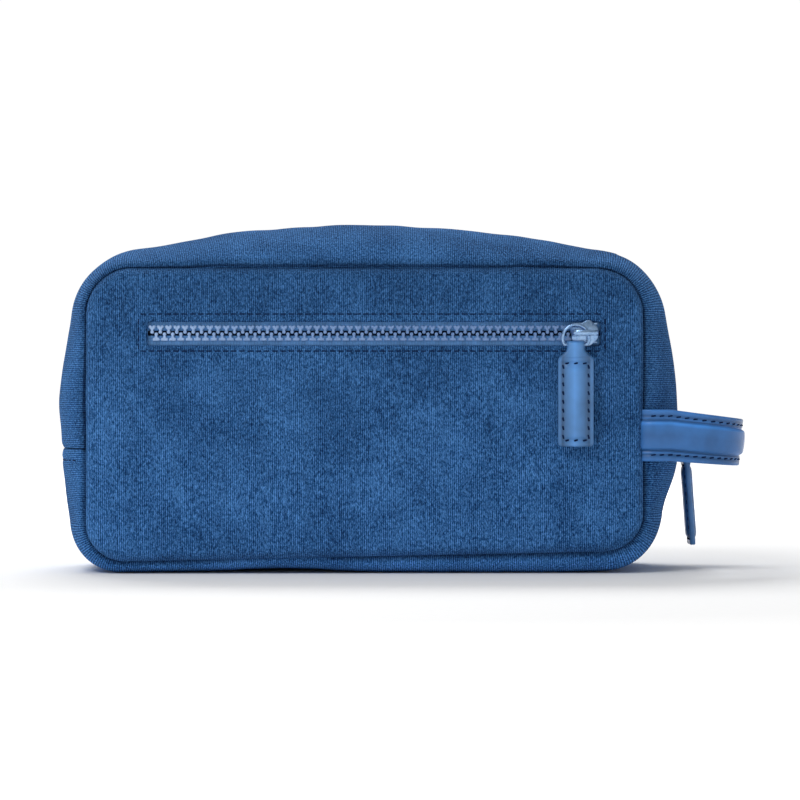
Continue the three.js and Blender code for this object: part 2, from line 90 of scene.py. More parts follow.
# the topstitching stands a little off the slot
STITCH_BOX = (SLOT[0] - 3.5, SLOT[1] + 1.9, SLOT[2] - 2.2, SLOT[3] + 3.1)
PITCH = 3.3  # of the teeth, and of the stitches


# ---- meshes ----
@contextmanager
def editing(mesh):
    """A mesh opened as a bmesh, and written back at the end."""
    bm = bmesh.new()
    bm.from_mesh(mesh)
    yield bm
    bm.to_mesh(mesh)
    bm.free()


def make_object(name, verts, faces, material, uv=None, smooth=True, outward=True, sharp=0):
    """A mesh object from millimetres. Edges sharper than sharp degrees keep their own shading."""
    mesh = bpy.data.meshes.new(name)
    mesh.from_pydata((np.asarray(verts, float) * MM).tolist(), [], [list(map(int, f)) for f in faces])
    if uv is not None:
        layer = mesh.uv_layers.new(name="weave")
        corner = np.empty(len(mesh.loops), np.int32)
        mesh.loops.foreach_get("vertex_index", corner)
        layer.data.foreach_set("uv", (np.asarray(uv, float)[corner] * MM).ravel())
    if outward:
        with editing(mesh) as bm:
            bmesh.ops.recalc_face_normals(bm, faces=bm.faces)
    if smooth:
        mesh.shade_smooth()
    mesh.materials.append(material)
    if sharp:
        mesh.set_sharp_from_angle(angle=math.radians(sharp))
    obj = bpy.data.objects.new(name, mesh)
    bpy.context.scene.collection.objects.link(obj)
    return obj


def declare(obj, slot, body, *nodes):
    """A piece's body, and the CAD nodes that it stands for, which are hidden. A blended piece has no one body. The
    slot, its finish, is not used.
    """
    if nodes:
        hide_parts(*nodes)
    if body:
        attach(obj, body)


def loft_parts(sections):
    """Vertices and faces of a closed skin over closed sections of one size, with its ends capped. A
    section's points k and n-1-k lie opposite each other, which is how the caps are made."""
    sections = np.asarray(sections, float)
    rows, cols = sections.shape[:2]
    faces = []
    for r in range(rows - 1):
        for c in range(cols):
            d = (c + 1) % cols
            faces.append((r * cols + c, r * cols + d, (r + 1) * cols + d, (r + 1) * cols + c))
    for base in (0, (rows - 1) * cols):
        for c in range(cols // 2 - 1):
            faces.append((base + c, base + c + 1, base + cols - 2 - c, base + cols - 1 - c))
    return sections.reshape(-1, 3), faces


def merge_parts(parts):
    """One vertex list and one face list from several."""
    verts, faces, offset = [], [], 0
    for v, f in parts:
        verts.append(np.asarray(v, float))
        faces += [[i + offset for i in face] for face in f]
        offset += len(v)
    return np.concatenate(verts), faces


def mesh_parts(bm):
    bm.verts.ensure_lookup_table()
    bm.verts.index_update()
    verts = np.array([v.co for v in bm.verts])
    faces = [[v.index for v in f.verts] for f in bm.faces]
    bm.free()
    return verts, faces


def extruded(outline, low, high):
    """The outline's prism between two heights, as a bmesh."""
    bm = bmesh.new()
    face = bm.faces.new([bm.verts.new((x, y, low)) for x, y in outline])
    top = bmesh.ops.extrude_face_region(bm, geom=[face])["geom"]
    lift = [g for g in top if isinstance(g, bmesh.types.BMVert)]
    bmesh.ops.translate(bm, vec=(0, 0, high - low), verts=lift)
    bmesh.ops.recalc_face_normals(bm, faces=bm.faces)
    return bm


def triangulate_large(bm):
    bmesh.ops.triangulate(bm, faces=[f for f in bm.faces if len(f.verts) > 4])


def block_outline(outline, low, high, bevel, segments, crown=0.0):
    """A flat piece with the given outline between two heights, with its edges rounded."""
    bm = extruded(outline, low, high)
    rounding = {"offset": bevel, "segments": segments, "profile": 0.6, "clamp_overlap": True}
    bmesh.ops.bevel(bm, geom=list(bm.edges), affect="EDGES", **rounding)
    if crown:
        triangulate_large(bm)
        for v in bm.verts:
            if v.co.z > (low + high) / 2:
                v.co.z += crown * math.exp(-((v.co.y / 3.0) ** 2))
    return mesh_parts(bm)


def placed(parts, matrix):
    verts, faces = parts
    m = np.array(matrix)
    return verts @ m[:3, :3].T + m[:3, 3], faces


def capsule(length, radius, sides=6):
    """A thread's float: a thin capsule along X about the origin."""
    rows = []
    for a in (-90, -50, -15, 15, 50, 90):
        x = math.sin(math.radians(a)) * radius + (length / 2 - radius) * (1 if a > 0 else -1)
        r = max(math.cos(math.radians(a)) * radius, radius * 0.08)
        turns = [2 * math.pi * k / sides for k in range(sides)]
        rows.append([(x, r * math.cos(turn), r * math.sin(turn)) for turn in turns])
    return loft_parts(rows)


def stitches(places, length=2.3, radius=0.26, tilt=0.0):
    """One float of thread for each place: (point, direction along the row, surface normal)."""
    parts = []
    shape = capsule(length, radius)
    for point, along, normal in places:
        along, normal = Vector(along).normalized(), Vector(normal).normalized()
        across = normal.cross(along).normalized()
        basis = Matrix((along, across, normal)).transposed().to_4x4()
        turn = Matrix.Rotation(tilt, 4, "Z")
        parts.append(placed(shape, Matrix.Translation(Vector(point)) @ basis @ turn))
    return merge_parts(parts)


def wander(x, y, z, size, seed):
    """Smooth noise between about -1 and 1 that changes over the given size in millimetres."""
    return noise.noise(Vector((x / size, y / size + 17.3 * seed, z / size)))


# ---- the seam outline ----
def line_run(x0, z0, x1, z1, nx, nz):
    n = max(2, round(math.hypot(x1 - x0, z1 - z0) / STEP))
    u = np.linspace(0, 1, n + 1)
    return np.stack([x0 + (x1 - x0) * u, z0 + (z1 - z0) * u, np.full(n + 1, nx), np.full(n + 1, nz)], 1)


def arc_run(cx, cz, r, a0, a1):
    n = max(6, round(abs(math.radians(a1 - a0)) * (r + 8) / STEP))
    a = np.radians(np.linspace(a0, a1, n + 1))
    return np.stack([cx + r * np.cos(a), cz + r * np.sin(a), np.cos(a), np.sin(a)], 1)


def chain_runs(*runs):
    return np.concatenate([runs[0]] + [r[1:] for r in runs[1:]])


def length_along(path):
    return np.concatenate([[0], np.cumsum(np.hypot(*np.diff(path[:, :2], axis=0).T))])


def smoothed(values, steps):
    kernel = np.exp(-0.5 * (np.arange(-3 * steps, 3 * steps + 1) / steps) ** 2)
    padded = np.pad(values, 3 * steps, mode="edge")
    return np.convolve(padded, kernel / kernel.sum(), "valid")


TOP_X = SEAM_W - TOP_R
TOP_Z = SEAM_TOP - TOP_R
LOW_X = SEAM_W - LOW_R
SLOPE = math.atan2(SEAM_LOW_RIGHT - SEAM_LOW_LEFT, 2 * LOW_X)
DOWN = math.degrees(SLOPE) - 90  # the direction the bottom seam faces


def low_run():
    """The corners and the straight run under the bag, from the right side to the left side."""
    a = math.radians(DOWN)
    nx, nz = math.cos(a), math.sin(a)
    right, left = (LOW_X, SEAM_LOW_RIGHT + LOW_R), (-LOW_X, SEAM_LOW_LEFT + LOW_R)
    ends = [c + n * LOW_R for corner in (right, left) for c, n in zip(corner, (nx, nz))]
    line = line_run(*ends, nx, nz)
    return arc_run(*right, LOW_R, 0, DOWN), line, arc_run(*left, LOW_R, DOWN, -180)


def zip_track():
    """The zip gusset's line from the left join over the top to the right join, and its bulge."""
    runs = [
        (line_run(-SEAM_W, JOIN_Z + 0.15, -SEAM_W, TOP_Z, -1, 0), [13.6, 15.2, 12.8, 9.5]),
        (arc_run(-TOP_X, TOP_Z, TOP_R, 180, 90), [9.5, 8.2, 9.1]),
        (line_run(-TOP_X, SEAM_TOP, TOP_X, SEAM_TOP, 0, 1), None),
        (arc_run(TOP_X, TOP_Z, TOP_R, 90, 0), [9.1, 9.8, 11.9]),
        (line_run(SEAM_W, TOP_Z, SEAM_W, JOIN_Z + 0.15, 1, 0), [11.9, 14.1, 15.5, 16.4, 17.1]),
    ]
    return tracked(runs)


def base_track():
    """The base gusset's line from the right join under the base to the left join, and its bulge."""
    right, bottom, left = low_run()
    runs = [
        (line_run(SEAM_W, JOIN_Z - 0.15, SEAM_W, SEAM_LOW_RIGHT + LOW_R, 1, 0), [17.4, 16.8, 15.1, 11.8, 10.1]),
        (right, [10.1, 9.2, SEAM_LOW_RIGHT]),
        (bottom, [SEAM_LOW_RIGHT, SEAM_LOW_LEFT]),
        (left, [SEAM_LOW_LEFT, 7.5, 9.7]),
        (line_run(-SEAM_W, SEAM_LOW_LEFT + LOW_R, -SEAM_W, JOIN_Z - 0.15, -1, 0), [9.7, 13.6]),
    ]
    return tracked(runs)


def dome(x):
    """The bulge along the top, which is fullest a little left of the middle."""
    peak, edge, height = -1.5, 9.1, 19.6
    reach = np.where(x < peak, TOP_X + peak, TOP_X - peak)
    return edge + (height - edge) * (1 - np.minimum(1, np.abs(x - peak) / reach) ** 1.9)


def tracked(runs):
    """A gusset's line, its bulge and the length along it. Each run comes with bulges spread along it."""
    path = chain_runs(*[r for r, _ in runs])
    bulges = []
    for i, (r, keys) in enumerate(runs):
        if keys is None:
            b = dome(r[:, 0])
        else:
            b = np.interp(np.linspace(0, 1, len(r)), np.linspace(0, 1, len(keys)), keys)
        bulges.append(b if i == 0 else b[1:])
    bulge = smoothed(np.concatenate(bulges), 4)
    return path, bulge, length_along(path)


def seam_shift(x, z):
    """How far the sewn outline strays from its pattern."""
    rise = 1.3 * math.exp(-(((x + 36) / 26) ** 2)) * (z < 20)
    return 0.7 * wander(x, 0, z, 38, 3) + 0.25 * wander(x, 0, z, 11, 5) - rise


def shell_point(station, bulge, y_share, inset, flat, power, ripple):
    """A point of a gusset: y_share runs from -1 at the front seam to 1 at the rear one."""
    x, z, nx, nz = station
    share = max(0.0, (abs(y_share) - flat) / (1 - flat))
    out = bulge * math.sqrt(max(0.0, 1 - share**power)) - inset + ripple
    shift = seam_shift(x, z)
    rise = max(out + inset, 0) / 2.2
    puff = 2.4 * rise * math.exp(1 - rise)  # beside the seam the cloth rolls forwards
    y = y_share * (SEAM_Y - 0.75 * inset) + math.copysign(puff, y_share) * abs(y_share) ** 3
    return np.array([x + nx * (out + shift), y, z + nz * (out + shift)])


# ---- materials ----
def linear(r, g, b):
    def one(c):
        c /= 255
        return c / 12.92 if c <= 0.04045 else ((c + 0.055) / 1.055) ** 2.4

    return (one(r), one(g), one(b), 1.0)


def tint(rgb, level=1.0):
    return linear(*[min(255, c * level) for c in rgb])


def grey(level):
    return (level, level, level, 1)


def set_stops(elements, stops):
    """Gives a colour ramp its stops: (position, colour), in order."""
    for position, _ in stops[1:-1]:
        elements.new(position)
    elements[0].position, elements[-1].position = stops[0][0], stops[-1][0]
    for element, (_, colour) in zip(elements, stops):
        element.color = colour


class Nodes:
    """A short way to write a node tree."""

    def __init__(self, name):
        self.material = bpy.data.materials.new(name)
        self.material.use_nodes = True
        self.tree = self.material.node_tree
        self.bsdf = self.tree.nodes["Principled BSDF"]

    def add(self, kind, inputs=None, **settings):
        node = self.tree.nodes.new("ShaderNode" + kind)
        for key, value in settings.items():
            setattr(node, key, value)
        for key, value in (inputs or {}).items():
            self.set(node, key, value)
        return node

    def set(self, node, key, value):
        socket = node.inputs[key]
        if isinstance(value, bpy.types.NodeSocket):
            self.tree.links.new(value, socket)
        else:
            socket.default_value = value

    def coords(self, source="object", scale=(1, 1, 1)):
        if source == "weave":
            out = self.add("UVMap", uv_map="weave").outputs["UV"]
        else:
            out = self.add("TexCoord").outputs["Object"]
        return self.add("Mapping", {"Vector": out, "Scale": scale}).outputs["Vector"]

    def noise(self, vector, scale, detail=2.0, roughness=0.5, distortion=0.0):
        node = self.add(
            "TexNoise",
            {"Vector": vector, "Scale": scale, "Detail": detail, "Roughness": roughness, "Distortion": distortion},
        )
        return node.outputs["Fac"]

    def ramp(self, fac, *stops):
        node = self.add("ValToRGB", {"Fac": fac})
        set_stops(node.color_ramp.elements, stops)
        return node.outputs["Color"]

    def mix(self, fac, a, b, blend="MIX"):
        node = self.add("Mix", data_type="RGBA", blend_type=blend)
        self.set(node, 0, fac)
        self.set(node, 6, a)
        self.set(node, 7, b)
        return node.outputs[2]

    def math(self, operation, a, b=0.0, c=0.0):
        node = self.add("Math", operation=operation)
        for i, value in enumerate((a, b, c)):
            self.set(node, i, value)
        return node.outputs[0]

    def bump(self, height, strength, distance, normal=None):
        node = self.add("Bump", {"Height": height, "Strength": strength, "Distance": distance})
        if normal is not None:
            self.set(node, "Normal", normal)
        return node.outputs["Normal"]

    def finish(self, **inputs):
        for key, value in inputs.items():
            self.set(self.bsdf, key.replace("_", " "), value)
        return self.material


def terry(name, source, painted_height_light, seam_shade=1.0, seam_width=0.0065, cloth_width=1.0):
    """Ribbed velour terry: fine knitted ribs, an uneven pile that catches light, and blotchy patches.
    Beside a seam the cloth carries painted shade, and painted light and shade make it paler towards
    the base and darker higher up: painted_height_light gives two heights in metres and the brightness at each."""
    dark, middle, light = (9, 33, 68), (39, 84, 136), (86, 143, 208)
    n = Nodes(name)
    at = n.coords(source)
    along = n.coords(source, (1, 0.6, 1) if source == "weave" else (1, 1, 0.6))
    ribs = n.add(
        "TexWave",
        {"Vector": at, "Scale": 410.0, "Distortion": 2.4, "Detail": 2.0, "Detail Scale": 3.0},
        wave_type="BANDS",
        bands_direction="X",
    ).outputs["Fac"]
    pile = n.noise(along, 1500.0, 3.0, 0.75)
    clump = n.noise(at, 520.0, 3.0, 0.6)
    patch = n.noise(at, 42.0, 3.0, 0.55, 0.4)
    height = n.math("MULTIPLY_ADD", ribs, 0.24, pile)
    shade = n.math("MULTIPLY_ADD", clump, 0.22, height)
    shade = n.math("MULTIPLY_ADD", patch, 0.28, shade)
    colour = n.ramp(
        n.math("MULTIPLY", shade, 0.6), (0.39, linear(*dark)), (0.52, linear(*middle)), (0.66, linear(*light))
    )
    # painted light and painted shade by height: paler low down, darker higher up
    low, high, low_level, high_level = painted_height_light
    up = n.add("SeparateXYZ", {"Vector": n.coords()}).outputs["Z"]
    scuff_and_painted_light = {"Value": up, "From Min": low, "From Max": high, "To Min": low_level, "To Max": high_level}
    colour = n.mix(1.0, colour, n.add("MapRange", scuff_and_painted_light).outputs[0], "MULTIPLY")
    # painted shade beside each sewn edge, where the seam's groove lies in shadow
    if source == "weave":
        across = n.add("SeparateXYZ", {"Vector": at}).outputs["Y"]
        across = n.math("PINGPONG", across, cloth_width / 2)  # from the nearest sewn edge
        seam = n.add("MapRange", {"Value": across, "From Max": seam_width, "To Min": seam_shade})
        colour = n.mix(1.0, colour, seam.outputs[0], "MULTIPLY")
    normal = n.bump(height, 1.0, 0.0006, n.bump(clump, 0.5, 0.0008))
    return n.finish(
        Base_Color=colour,
        Roughness=0.95,
        Normal=normal,
        Sheen_Weight=0.1,
        Sheen_Roughness=0.4,
        Sheen_Tint=linear(120, 165, 215),
        Specular_IOR_Level=0.08,
    )


def leather(name, rgb, painted_light_stops, axis, width):
    """Smooth pressed leather: fine grain, faint clouding, a soft shine, and painted highlights and shade
    that follow the padding. painted_light_stops lists (place across the piece from 0 to 1, brightness)."""
    n = Nodes(name)
    at = n.coords()
    cloud = n.noise(at, 75.0, 3.0, 0.6)
    colour = n.ramp(cloud, (0.3, tint(rgb, 0.9)), (0.7, tint(rgb, 1.05)))
    across = n.add("SeparateXYZ", {"Vector": n.coords("weave")}).outputs[axis]
    place = n.add("MapRange", {"Value": across, "From Min": -width / 2, "From Max": width / 2}).outputs[0]
    # painted highlights along the padding and painted shade in its grooves
    painted_light_factor = n.ramp(place, *[(u, grey(level / 2)) for u, level in painted_light_stops])
    painted_light_factor = n.math("MULTIPLY", painted_light_factor, 2.0)  # a ramp's colours end at 1
    colour = n.mix(1.0, colour, painted_light_factor, "MULTIPLY")
    cells = n.add(
        "TexVoronoi", {"Vector": at, "Scale": 1500.0, "Randomness": 0.9}, feature="DISTANCE_TO_EDGE"
    ).outputs["Distance"]
    grain = n.math("MULTIPLY_ADD", n.noise(at, 900.0, 3.0, 0.6), 0.6, n.math("MINIMUM", cells, 0.25))
    rough = n.math("MULTIPLY_ADD", cloud, 0.14, 0.26)
    normal = n.bump(grain, 0.2, 0.0003)
    return n.finish(Base_Color=colour, Roughness=rough, Normal=normal, Specular_IOR_Level=0.38)


def woven(name, rgb, scale, rough=0.8):
    """Plain weave: crossing threads with a little slub."""
    n = Nodes(name)
    at = n.coords()
    bands = [
        n.add("TexWave", {"Vector": at, "Scale": scale, "Distortion": 0.6}, bands_direction=d).outputs["Fac"]
        for d in ("X", "Z")
    ]
    weave = n.math("MULTIPLY", *bands)
    slub = n.noise(at, 260.0, 2.0)
    shade = n.math("MULTIPLY_ADD", slub, 0.6, n.math("MULTIPLY", weave, 0.6))
    colour = n.ramp(shade, (0.2, tint(rgb, 0.72)), (0.75, tint(rgb, 1.12)))
    normal = n.bump(weave, 0.4, 0.0002)
    return n.finish(Base_Color=colour, Roughness=rough, Normal=normal, Specular_IOR_Level=0.25)


def moulded(name):
    """Moulded zip teeth: satin plastic with a painted highlight that grows towards the left-hand end."""
    n = Nodes(name)
    at = n.add("TexCoord").outputs["Object"]
    x = n.add("SeparateXYZ", {"Vector": at}).outputs["X"]
    # painted highlight: the teeth are paler towards the left-hand end
    left = n.add("MapRange", {"Value": x, "From Min": -0.085, "From Max": 0.02}).outputs[0]
    base = n.ramp(left, (0.0, linear(150, 180, 220)), (0.3, linear(116, 150, 198)), (1.0, linear(90, 126, 178)))
    fleck = n.noise(at, 700.0, 2.0)
    colour = n.mix(0.16, base, n.ramp(fleck, (0.35, linear(60, 88, 130)), (0.65, linear(150, 176, 212))))
    return n.finish(Base_Color=colour, Roughness=n.math("MULTIPLY_ADD", fleck, 0.2, 0.2), Coat_Weight=0.25,
                    Coat_Roughness=0.2, Normal=n.bump(fleck, 0.08, 0.0002))


def plated(name):
    """Plated zinc slider with a blue cast, brushed by handling."""
    n = Nodes(name)
    at = n.coords()
    scuff_and_painted_light = n.noise(at, 420.0, 4.0, 0.65, 0.6)
    colour = n.ramp(scuff_and_painted_light, (0.3, linear(104, 142, 188)), (0.7, linear(162, 192, 226)))
    return n.finish(Base_Color=colour, Metallic=0.9, Roughness=n.math("MULTIPLY_ADD", scuff_and_painted_light, 0.22, 0.18),
                    Normal=n.bump(scuff_and_painted_light, 0.12, 0.0003))


def thread(name, rgb):
    """Twisted sewing thread."""
    n = Nodes(name)
    at = n.coords()
    wave = {"Vector": at, "Scale": 700.0, "Distortion": 1.0}
    twist = n.add("TexWave", wave, bands_direction="DIAGONAL").outputs["Fac"]
    colour = n.ramp(twist, (0.2, tint(rgb, 0.7)), (0.8, tint(rgb)))
    normal = n.bump(twist, 0.3, 0.0001)
    return n.finish(Base_Color=colour, Roughness=0.8, Normal=normal, Specular_IOR_Level=0.1)


BASE_WIDTH = 100
# painted highlights and painted shade across the strap and the pull: (place from 0 to 1, brightness)
STRAP_PAINTED_LIGHT = (
    (0.0, 1.3), (0.06, 0.95), (0.13, 0.55), (0.165, 1.1), (0.205, 0.5), (0.26, 1.0), (0.5, 0.85), (0.68, 1.05),
    (0.74, 1.7), (0.795, 0.5), (0.83, 1.0), (0.87, 0.55), (0.93, 0.95), (1.0, 1.15),
)
PULL_PAINTED_LIGHT = (
    (0.0, 1.05), (0.07, 0.95), (0.13, 0.5), (0.19, 0.78), (0.33, 1.15), (0.46, 1.5), (0.58, 1.2), (0.72, 0.85),
    (0.82, 0.62), (0.87, 0.5), (0.93, 0.95), (1.0, 1.1),
)
M = {
    # painted light and shade: the height ramps make the cloth paler towards the base, and the gussets and base
    # carry painted shade beside their seams
    "panel": terry("terry_panel", "object", (0.02, 0.12, 1.18, 0.8)),
    "gusset": terry("terry_gusset", "weave", (0.02, 0.13, 1.18, 1.0), 0.42),
    "base": terry("terry_base", "weave", (0.003, 0.016, 1.75, 1.12), 0.25, 0.003, BASE_WIDTH * MM),
    "strap": leather("leather_strap", (52, 110, 176), STRAP_PAINTED_LIGHT, "Y", 0.0208),
    "pull": leather("leather_pull", (74, 123, 178), PULL_PAINTED_LIGHT, "X", 0.0142),
    "tape": woven("zip_tape", (90, 140, 196), 520.0),
    "lining": woven("nylon_lining", (34, 60, 96), 300.0, 0.5),
    "teeth": moulded("moulded_teeth"),
    "metal": plated("plated_slider"),
    "thread": thread("thread_navy", (12, 36, 76)),
    "thread_dark": thread("thread_dark", (10, 34, 76)),
    "foam": woven("foam_filler", (70, 90, 120), 200.0),
}

CAD_LOOK = {
    "terry": "panel", "lining": "lining", "tape": "tape", "teeth": "teeth", "slider_metal": "metal",
    "pull_leather": "foam", "strap_leather": "foam", "filler": "foam",
}
for part in frame["record"]["subparts"]:
    materials = frame["nodes"][part["node"]].data.materials
    materials.clear()
    materials.append(M[CAD_LOOK[part["material_slot"]]])


# ---- gussets, tapes and linings ----
ZIP_FLAT = 0.1  # the share of the gusset's half width that stays flat beside the zip
ZIP_POWER = 2.2  # how squarely the rest of it turns down to the seam
LINING_IN = 3.2  # the lining's depth under the cloth's outer face
THIN = 0.5  # thickness of linings and tapes
STITCH_OFF = 7.6  # the topstitching's distance from the main zip's middle


def gusset_ripple(s, t, x, z, side, wide=0.6):
    """The cloth's waves: long soft ones in the middle and short puckers beside the sewn edge."""
    free = (1 - abs(t) ** 6) * (0.35 + 0.65 * min(1, abs(t) * 4))
    wave = wide * wander(s, t * HALF, side * 40, 34, 1) + 0.35 * wander(s, t * HALF * 0.5, side * 40, 13, 2)
    near_seam = math.exp(-(((1 - abs(t)) * HALF) / 7.0) ** 2)
    pucker = 0.55 * wander(s, side * 90, 0, 4.6, 4) * near_seam * (1 - abs(t) ** 40)
    pillow = math.exp(-(((abs(t) - 0.42) / 0.24) ** 2))
    pillow *= 1.35 * math.exp(-(((z - 68) / 22) ** 2)) if x > 100 else 0.3
    return wave * free + pucker + pillow


def join_dip(s, total, depth):
    """The cloth turns in where the zip gusset and the base gusset are sewn together."""
    return -depth * (math.exp(-((s / 1.3) ** 2)) + math.exp(-(((total - s) / 1.3) ** 2)))


def gusset_section(track, i, side):
    """A closed cross-section of a zip gusset's half: the outer face from the seam to the zip, the turned
    edge, and the inner face back to the seam."""
    path, bulge, along = track
    s, station, b = along[i], path[i], bulge[i]
    edge = -ZIP_EDGE / HALF
    outer_t = np.concatenate([-1 + (1 - 0.2) * np.linspace(0, 1, 22) ** 1.7, np.linspace(-0.185, edge, 7)])
    inner_t = [edge - 0.02, *outer_t[::-1][1:]]
    dip = join_dip(s, along[-1], 1.0)

    def point(t, inset):
        ripple = gusset_ripple(s, t, station[0], station[1], side) + dip * min(1, (1 - abs(t)) * 12)
        off_stitch = abs(abs(t) * HALF - STITCH_OFF)
        ripple -= 0.4 * math.exp(-((off_stitch / 0.8) ** 2)) * (inset == 0)
        return shell_point(station, b, t, inset, ZIP_FLAT, ZIP_POWER, ripple)

    fold = [(edge + 0.006, 0.35), (edge + 0.004, 1.1)]
    places = [(t, 0.0) for t in outer_t] + fold + [(max(t, -0.995), FABRIC) for t in inner_t]
    points = np.array([point(*place) for place in places])
    points[:, 1] *= side
    return points


def strip_section(track, i, side, t_range, inset, count):
    """A thin strip under the gusset: a zip tape, or the lining, which follows the cloth's waves."""
    path, bulge, along = track
    ts = np.linspace(*t_range, count)

    def point(t, depth):
        ripple = 0.5 * gusset_ripple(along[i], t, 0, 0, side) if count > 6 else 0.0
        return shell_point(path[i], bulge[i], t, depth, ZIP_FLAT, ZIP_POWER, ripple)

    points = np.array([point(t, inset) for t in ts] + [point(t, inset + THIN) for t in ts[::-1]])
    points[:, 1] *= side
    return points


def weave_uv(sections, along, width=0):
    """UVs in millimetres: u along the strip, v across it from the sewn edge. A strip that is sewn at
    both edges is evened out to one width."""
    sections = np.asarray(sections)
    steps = np.linalg.norm(np.diff(sections, axis=1), axis=2)
    v = np.concatenate([np.zeros((len(sections), 1)), np.cumsum(steps, axis=1)], 1)
    if width:
        v *= width / v[:, sections.shape[1] // 2 - 1 :][:, :1]
    u = np.repeat(np.asarray(along)[:, None], sections.shape[1], 1)
    return np.stack([u, v], 2).reshape(-1, 2)


ZIP_TRACK = zip_track()
BASE_TRACK = base_track()
MIDDLE = int(np.argmin(np.abs(ZIP_TRACK[0][:, 0]) + 1000 * (ZIP_TRACK[0][:, 1] < SEAM_TOP - 1)))
SIDES = ((1, "front"), (-1, "rear"))
HALVES = {"left": range(0, MIDDLE + 1), "right": range(MIDDLE, len(ZIP_TRACK[0]))}


def blend_half(obj):
    """Bakes a piece of the mouth's placement into its mesh."""
    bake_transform(obj)


def finish_strip(obj, half, side_name, slot, kind):
    """A strip of the mouth stands for its half's CAD node, and the left half for the lip's node too."""
    nodes = [f"{side_name}_{kind}_{half}"] + [f"{side_name}_{kind}_lip"] * (half == "left")
    declare(obj, slot, None, *nodes)
    blend_half(obj)


def add_zip_gusset():
    kinds = (
        ("gusset", "gusset_cloth", "terry", gusset_section, ()),
        ("lining", "lining_strip", "lining", strip_section, ((-0.985, -0.12), LINING_IN, 14)),
        ("tape", "tape_strip", "tape", strip_section, ((-0.31, -0.9 / HALF), 2.35, 6)),
    )
    for side, side_name in SIDES:
        for half, rows in HALVES.items():
            for kind, name, slot, section, sizes in kinds:
                sections = np.array([section(ZIP_TRACK, i, side, *sizes) for i in rows])
                uv = weave_uv(sections, ZIP_TRACK[2][rows])
                obj = make_object(f"{side_name}_{name}_{half}", *loft_parts(sections), M[kind], uv, sharp=60)
                finish_strip(obj, half, side_name, slot, kind)


JOIN_STITCH = 4.6  # the side joins' topstitching, below the seam
BASE_WAVES = 500  # starts the base's waves away from the zip gusset's


def base_section(i, inset, thickness, count):
    path, bulge, along = BASE_TRACK
    station, b, s = path[i], bulge[i], along[i]
    left = along[-1] - s
    down = max(0.0, -station[3])
    dip = join_dip(s, along[-1], 0.7)
    shares = np.sin(np.linspace(-math.pi / 2, math.pi / 2, count)) * 0.6 + np.linspace(-1, 1, count) * 0.4
    points = []
    for depth, order in ((inset, shares), (inset + thickness, shares[::-1])):
        for t in order:
            ripple = gusset_ripple(s + BASE_WAVES, t, 0, 0, 2, 0.7) * (1 - down) + dip * min(1, (1 - abs(t)) * 12)
            if inset == 0:
                ripple -= 0.35 * sum(math.exp(-(((end - JOIN_STITCH) / 0.8) ** 2)) for end in (s, left))
            # the sides are fuller where the zip gusset joins them
            ripple += 0.5 * min(1, (1 - abs(t)) * 8) * min(1, max(0, (station[1] - 24) / 16))
            p = shell_point(station, b, t, depth, 0.1 + 0.6 * down, 2.3 + 0.7 * down, ripple)
            p[2] = max(p[2], depth)
            points.append(p)
    return points


def add_base():
    for name, node, inset, thickness, count, look, slot in (
        ("base_gusset_cloth", "base_gusset", 0.0, FABRIC, 44, "base", "terry"),
        ("base_lining_cloth", "base_lining", LINING_IN, THIN, 24, "lining", "lining"),
    ):
        stations = range(len(BASE_TRACK[0]))
        sections = np.array([base_section(i, inset, thickness, count) for i in stations])
        uv = weave_uv(sections, BASE_TRACK[2], BASE_WIDTH)
        obj = make_object(name, *loft_parts(sections), M[look], uv)
        declare(obj, slot, "shell", node)


# ---- face panels ----
FRONT_SEED = 11


def outline_loop(inset):
    """The seam outline in the front view, moved inwards, as x, z, normal x and normal z."""
    loop = chain_runs(
        arc_run(TOP_X, TOP_Z, TOP_R, 90, 0),
        line_run(SEAM_W, TOP_Z, SEAM_W, SEAM_LOW_RIGHT + LOW_R, 1, 0),
        *low_run(),
        line_run(-SEAM_W, SEAM_LOW_LEFT + LOW_R, -SEAM_W, TOP_Z, -1, 0),
        arc_run(-TOP_X, TOP_Z, TOP_R, 180, 90),
        line_run(-TOP_X, SEAM_TOP, TOP_X, SEAM_TOP, 0, 1),
    )[:-1]
    loop[:, :2] -= loop[:, 2:] * inset
    return loop


def slot_distance(x, z):
    """Distance outside the pocket's slot."""
    left, right, low, high = SLOT
    dx = max(left + SLOT_R - x, 0, x - right + SLOT_R)
    dz = max(low + SLOT_R - z, 0, z - high + SLOT_R)
    return math.hypot(dx, dz) - SLOT_R


def slot_loop(off):
    """A loop round the slot, off millimetres outside it."""
    left, right, low, high = SLOT[0] + SLOT_R, SLOT[1] - SLOT_R, SLOT[2] + SLOT_R, SLOT[3] - SLOT_R
    points = []
    corners = [(right, high, 90), (right, low, 0), (left, low, -90), (left, high, -180)]
    for (cx, cz, a0), (nx, nz, _) in zip(corners, corners[1:] + corners[:1]):
        turn = np.radians(np.linspace(a0, a0 - 90, 6))
        reach = [((SLOT_R + off) * math.cos(a), (SLOT_R + off) * math.sin(a)) for a in turn]
        points += [(cx + x, cz + z) for x, z in reach]
        ex, ez = reach[-1]
        n = max(2, round(math.hypot(nx - cx, nz - cz) / 1.2))
        points += [(cx + (nx - cx) * u + ex, cz + (nz - cz) * u + ez) for u in np.linspace(0, 1, n + 1)[1:-1]]
    return points


def stitch_offset(x, z):
    """Distance from the line of topstitching round the slot."""
    x0, x1, z0, z1 = STITCH_BOX
    dz = min(abs(z - z0), abs(z - z1)) if x0 - 1 < x < x1 + 1 else 99.0
    dx = min(abs(x - x0), abs(x - x1)) if z0 - 1 < z < z1 + 1 else 99.0
    return min(dx, dz)


